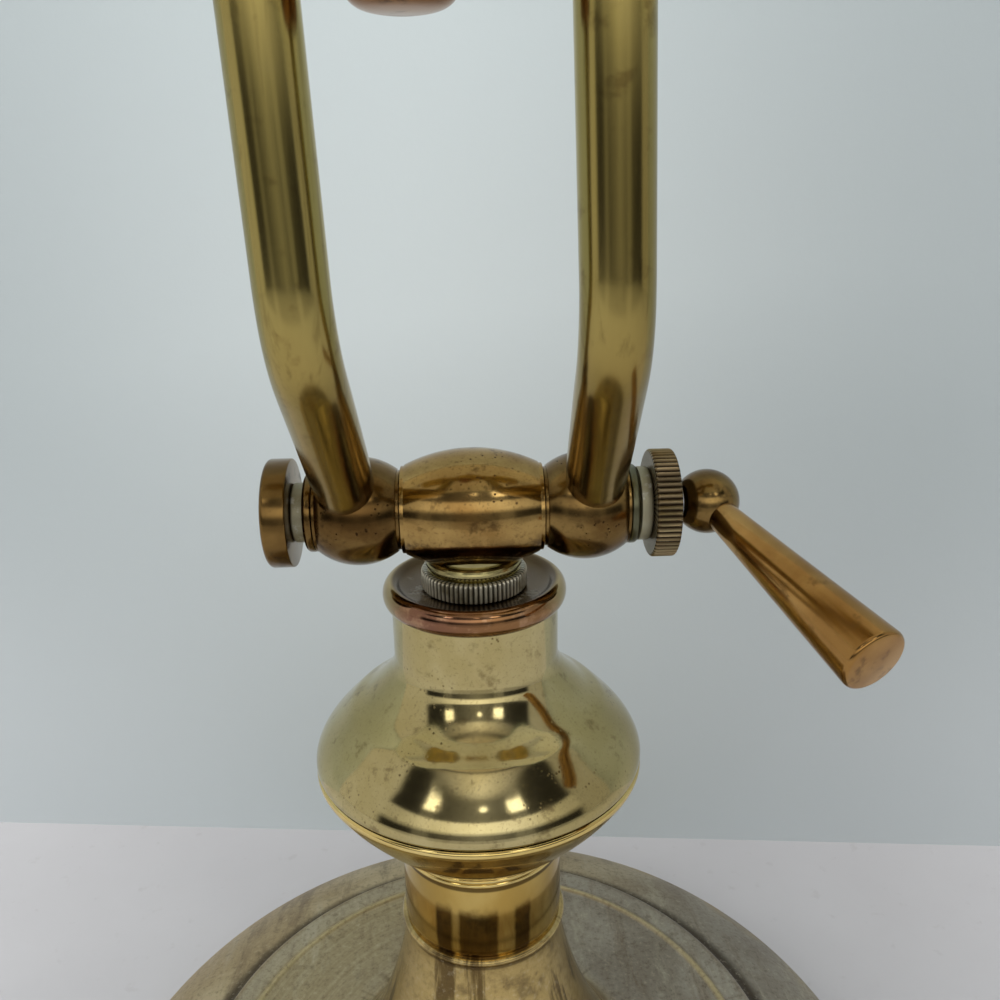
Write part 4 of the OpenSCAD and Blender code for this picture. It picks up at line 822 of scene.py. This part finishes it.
bulb_line = np.vstack([[[0, 0], [SCREW_R - 1, 0]], bow((SCREW_R - 0.6, 1), (BULB_R, 3), (BULB_R, 8), 12),
                       round_part((0, BULB_L - BULB_R), BULB_R, BULB_R, 0, 90, 26)])
bulb_line[-1, 0] = 0
for side, sign in (("left", -1), ("right", 1)):
    eye_place = HEAD + np.array([sign * ARM_X, 0, 0])
    eye = turned("arm_eye_" + side, eye_line, "x", eye_place, loop=True)
    dress(eye, head_finish, "yoke", "head_brass", "eye_" + side)
    collar_of_eye = tube_along("eye_collar_" + side, np.array([[0, ARM_Y, ARM_RISE - EYE_SEAT - k] for k in (-0.1, 1.4, 3.2, 4.9)]), 7.15, 0.78, 72,
                               lambda p, s=sign: leaned(p, s))
    dress(collar_of_eye, head_finish, "yoke", "head_brass")
    nut_low, nut_high = sorted((sign * NUT_X, sign * (NUT_X + TILT_NUT_T)))
    nut = knurled("tilt_nut_knurl_" + side, TILT_NUT_R, 0.45, 36, nut_low, nut_high, CROSS_HOLE, axis="x", centre=HEAD)
    dress(nut, head_finish, "head", "head_brass", "tilt_nut_" + side)
    cap = turned("socket_cap_spinning_" + side, outward(cap_line, sign, CAP_X), "x", HEAD, loop=True)
    dress(cap, head_finish, "head", "head_brass", "socket_cap_" + side)
    shell = turned("socket_shell_spinning_" + side, outward(shell_line, sign, SHELL_X), "x", HEAD, loop=True)
    dress(shell, head_finish, "head", "head_brass", "socket_shell_" + side)

BODY_R, BODY_HALF, SWITCH_X = 14.6, ARM_X - EYE_L / 2 - 0.1, -4.1
body_line = np.vstack([[[CROSS_HOLE, -BODY_HALF], [BODY_R - 2, -BODY_HALF]],
                       bow((BODY_R - 0.4, -BODY_HALF + 0.4), (BODY_R, -BODY_HALF + 0.8), (BODY_R, -BODY_HALF + 2.4), 8),
                       bow((BODY_R, BODY_HALF - 2.4), (BODY_R, BODY_HALF - 0.8), (BODY_R - 0.4, BODY_HALF - 0.4), 8),
                       [[BODY_R - 2, BODY_HALF], [CROSS_HOLE, BODY_HALF]]])
dress(turned("wiring_body_turning", body_line, "x", HEAD, loop=True), head_finish, "head", "head_brass", "wiring_body")

SWITCH_R, SWITCH_H, SWITCH_GAP = 9.0, 14.5, 7.9
switch_line = np.vstack([[[0, 0], [SWITCH_R - 4.6, 0.12]], bow((SWITCH_R - 3.6, 0.3), (SWITCH_R, 1), (SWITCH_R, 4.6), 18),
                         [[SWITCH_R, SWITCH_H - 1.6]], bow((SWITCH_R, SWITCH_H - 1.4), (SWITCH_R, SWITCH_H), (SWITCH_R - 1.4, SWITCH_H), 6),
                         [[0, SWITCH_H]]])
switch_place = (HEAD[0] + SWITCH_X, ARM_Y, HEAD[2] - BODY_R - SWITCH_GAP - SWITCH_H)
dress(turned("turn_switch_knob", switch_line, "z", switch_place), knob_finish, "switch", "copper_knob", "switch_knob")

# Shade: a trough of cased glass, blown green over opal white, with half-round ends and a small flared rim.
# It hangs on a post between two rubber washers, under a turned cap and a finial.

SHADE_L, SHADE_W, SHADE_H, GLASS_T, CROWN = 336.0, 134.0, 68.0, 3.0, 17.0
RIM_Z = HEAD[2] - 13.0
GLASS_TOP = RIM_Z + SHADE_H
MID = (SHADE_L - SHADE_W) / 2


def shade_section(t, n=44):
    """Half section from the crown's middle to the rim, t inside the outer face: half width
    c + (w - c) sin(a)^0.92 and height 7 + (h - 7) cos(a)^0.86, then a small flare."""
    w, h, c = SHADE_W / 2 - 3 - t, SHADE_H - t, CROWN - t / 3
    a = np.linspace(0, np.pi / 2, n)
    side_curve = np.stack([c + (w - c) * np.sin(a) ** 0.92, 7 + (h - 7) * np.abs(np.cos(a)) ** 0.86], 1)
    return np.vstack([[[0.02, h], [c * 0.5, h]], side_curve, bow((w + 0.05, 5), (w + 0.3, 1.6), (w + 3, 0), 10)])


def trough(name, outer_t, inner_t):
    """A trough skin between two depths of the glass: every section point (w, h) is carried round the
    stadium, p(u, v) = spine(u) + w(v) * (cos u, sin u), and the spine's end swaps where cos u changes sign."""
    section = np.vstack([shade_section(outer_t), shade_section(inner_t)[::-1]])
    u = np.linspace(-np.pi / 2, np.pi / 2, 65)
    u = np.concatenate([u, u + np.pi])
    spine = np.repeat([MID, -MID], 65)
    w, h = section[:, :1], section[:, 1:]
    points = np.stack([spine + w * np.cos(u), w * np.sin(u), h + 0 * u], -1).reshape(-1, 3)
    faces = grid_faces(len(section), len(u), True, True)
    piece = mesh_piece(name, points + np.array([HEAD[0], ARM_Y, RIM_Z]), faces, 50)
    outwards(piece)
    return piece


jade = Finish("green_cased_glass")
streak = jade.noise(14.0, 3.0, 0.5, twist=0.8)
ripple = jade.noise(22.0, 2.0, 0.5)
jade_tone = jade.mix(streak.step(0.3, 0.7), paint(6, 78, 48), paint(18, 116, 74))
jade_finish = jade.principled(Base_Color=jade_tone, Roughness=0.05 + ripple * 0.05, Coat_Weight=0.7, Specular_IOR_Level=0.6,
                              Normal=jade.bump(ripple, 0.1, 0.8))
opal = Finish("opal_lining_glass")
opal_tone = opal.mix(opal.noise(18.0, 3.0), paint(232, 232, 222), paint(244, 243, 236))
# Painted light: the opal lining is given a faint glow of its own, standing for daylight through the glass.
opal_glow_finish = opal.principled(Base_Color=opal_tone, Emission_Color=opal_tone, Emission_Strength=0.22, Roughness=0.16 + opal.noise(40.0) * 0.06, Coat_Weight=0.4,
                              Normal=opal.bump(opal.noise(26.0, 2.0), 0.08, 0.6))
dress(trough("shade_green_glass", 0.0, 1.3), jade_finish, "head", "green_glass", "shade")
dress(trough("shade_white_lining", 1.32, GLASS_T), opal_glow_finish, "head", "green_glass")

POST_HOLE, CAP_R, CAP_H, FINIAL_H = 4.85, 16.0, 7.0, 21.0
CAP_Z = GLASS_TOP + 1.5 + 0.2
cap_profile = np.vstack([[[POST_HOLE, 0], [CAP_R - 0.3, 0]], bow((CAP_R - 0.2, 0), (CAP_R, 0), (CAP_R, 0.4), 5),
                         bow((CAP_R, 1.2), (CAP_R - 1.5, CAP_H - 2.4), (8.6, CAP_H), 24), [[POST_HOLE, CAP_H]]])
dress(turned("shade_cap_turning", cap_profile, "z", (HEAD[0], ARM_Y, CAP_Z), loop=True), head_finish, "head", "head_brass", "shade_cap")
finial_line = np.vstack([[[0, 0], [6.8, 0]], bow((6.9, 0), (7, 0.1), (7, 0.3), 4), bow((7, 1.1), (7, 1.5), (6.4, 1.8), 6),
                         bow((6.4, 1.8), (4.6, 2.2), (4.7, 5.4), 12), round_part((0, 11.4), 7.4, 6.2, -48, 62, 30),
                         bow((3, 17.2), (1.6, 17.8), (1.5, FINIAL_H - 2), 10), bow((1.5, FINIAL_H - 1.6), (1.4, FINIAL_H), (0, FINIAL_H), 8)])
dress(turned("finial_turning", finial_line, "z", (HEAD[0], ARM_Y, CAP_Z + CAP_H + 0.1), sides=96), head_finish, "finial", "head_brass", "finial")

# What hardly shows keeps its plain solid: bolt, rod, nuts, screw bases, sockets' porcelain, washers and felt.

steel = Finish("plated_steel")
steel_tone = steel.mix(steel.noise(80.0), paint(150, 152, 154), paint(176, 177, 178))
steel_finish = steel.principled(Base_Color=steel_tone, Metallic=1.0, Roughness=0.24 + steel.noise(300.0) * 0.14,
                                Normal=steel.bump(steel.noise(700.0), 0.1, 0.05))
iron = Finish("cast_iron_skin")
iron_tone = iron.mix(iron.noise(120.0), paint(52, 52, 54), paint(78, 77, 76))
iron_finish = iron.principled(Base_Color=iron_tone, Metallic=0.7, Roughness=0.62 + iron.noise(200.0) * 0.2, Normal=iron.bump(iron.noise(500.0), 0.5, 0.3))
rubber = Finish("moulded_rubber")
rubber_finish = rubber.principled(Base_Color=rubber.mix(rubber.noise(90.0), paint(24, 24, 25), paint(38, 37, 36)), Roughness=0.55 + rubber.noise(300.0) * 0.2,
                                  Normal=rubber.bump(rubber.noise(900.0), 0.2, 0.05))
felt = Finish("green_felt")
felt_tone = felt.mix(felt.noise(700.0, 3.0, 0.7), paint(46, 62, 44), paint(74, 90, 66))
felt_finish = felt.principled(Base_Color=felt_tone, Roughness=0.95, Sheen_Weight=0.4, Normal=felt.bump(felt.noise(900.0), 0.6, 0.3))
china = Finish("glazed_porcelain")
china_finish = china.principled(Base_Color=china.mix(china.noise(60.0), paint(228, 224, 212), paint(238, 236, 228)), Roughness=0.18 + china.noise(90.0) * 0.1)
frost = Finish("frosted_bulb_glass")
frost_finish = frost.principled(Base_Color=frost.mix(frost.noise(50.0), paint(238, 236, 228), paint(246, 245, 240)), Roughness=0.3 + frost.noise(500.0) * 0.1,
                                Coat_Weight=0.3, Normal=frost.bump(frost.noise(1500.0), 0.05, 0.05))
for side, sign in (("left", -1), ("right", 1)):
    bulb = turned("bulb_glass_" + side, outward(bulb_line, sign, GLASS_X), "x", HEAD, sides=96)
    dress(bulb, frost_finish, "head", "bulb_glass", "bulb_" + side)
plain_finishes = {
    "felt": felt_finish, "cast_iron": iron_finish, "steel": steel_finish, "black_rubber": rubber_finish,
    "head_brass": head_finish, "copper_knob": knob_finish, "porcelain": china_finish, "bulb_glass": frost_finish,
    "green_glass": jade_finish,
}
slots = {row["node"]: row["material_slot"] for row in frame["record"]["subparts"]}
for node_name, node_object in nodes.items():
    finish = plain_finishes.get(slots[node_name])
    if finish:
        node_object.data.materials.clear()
        node_object.data.materials.append(finish)
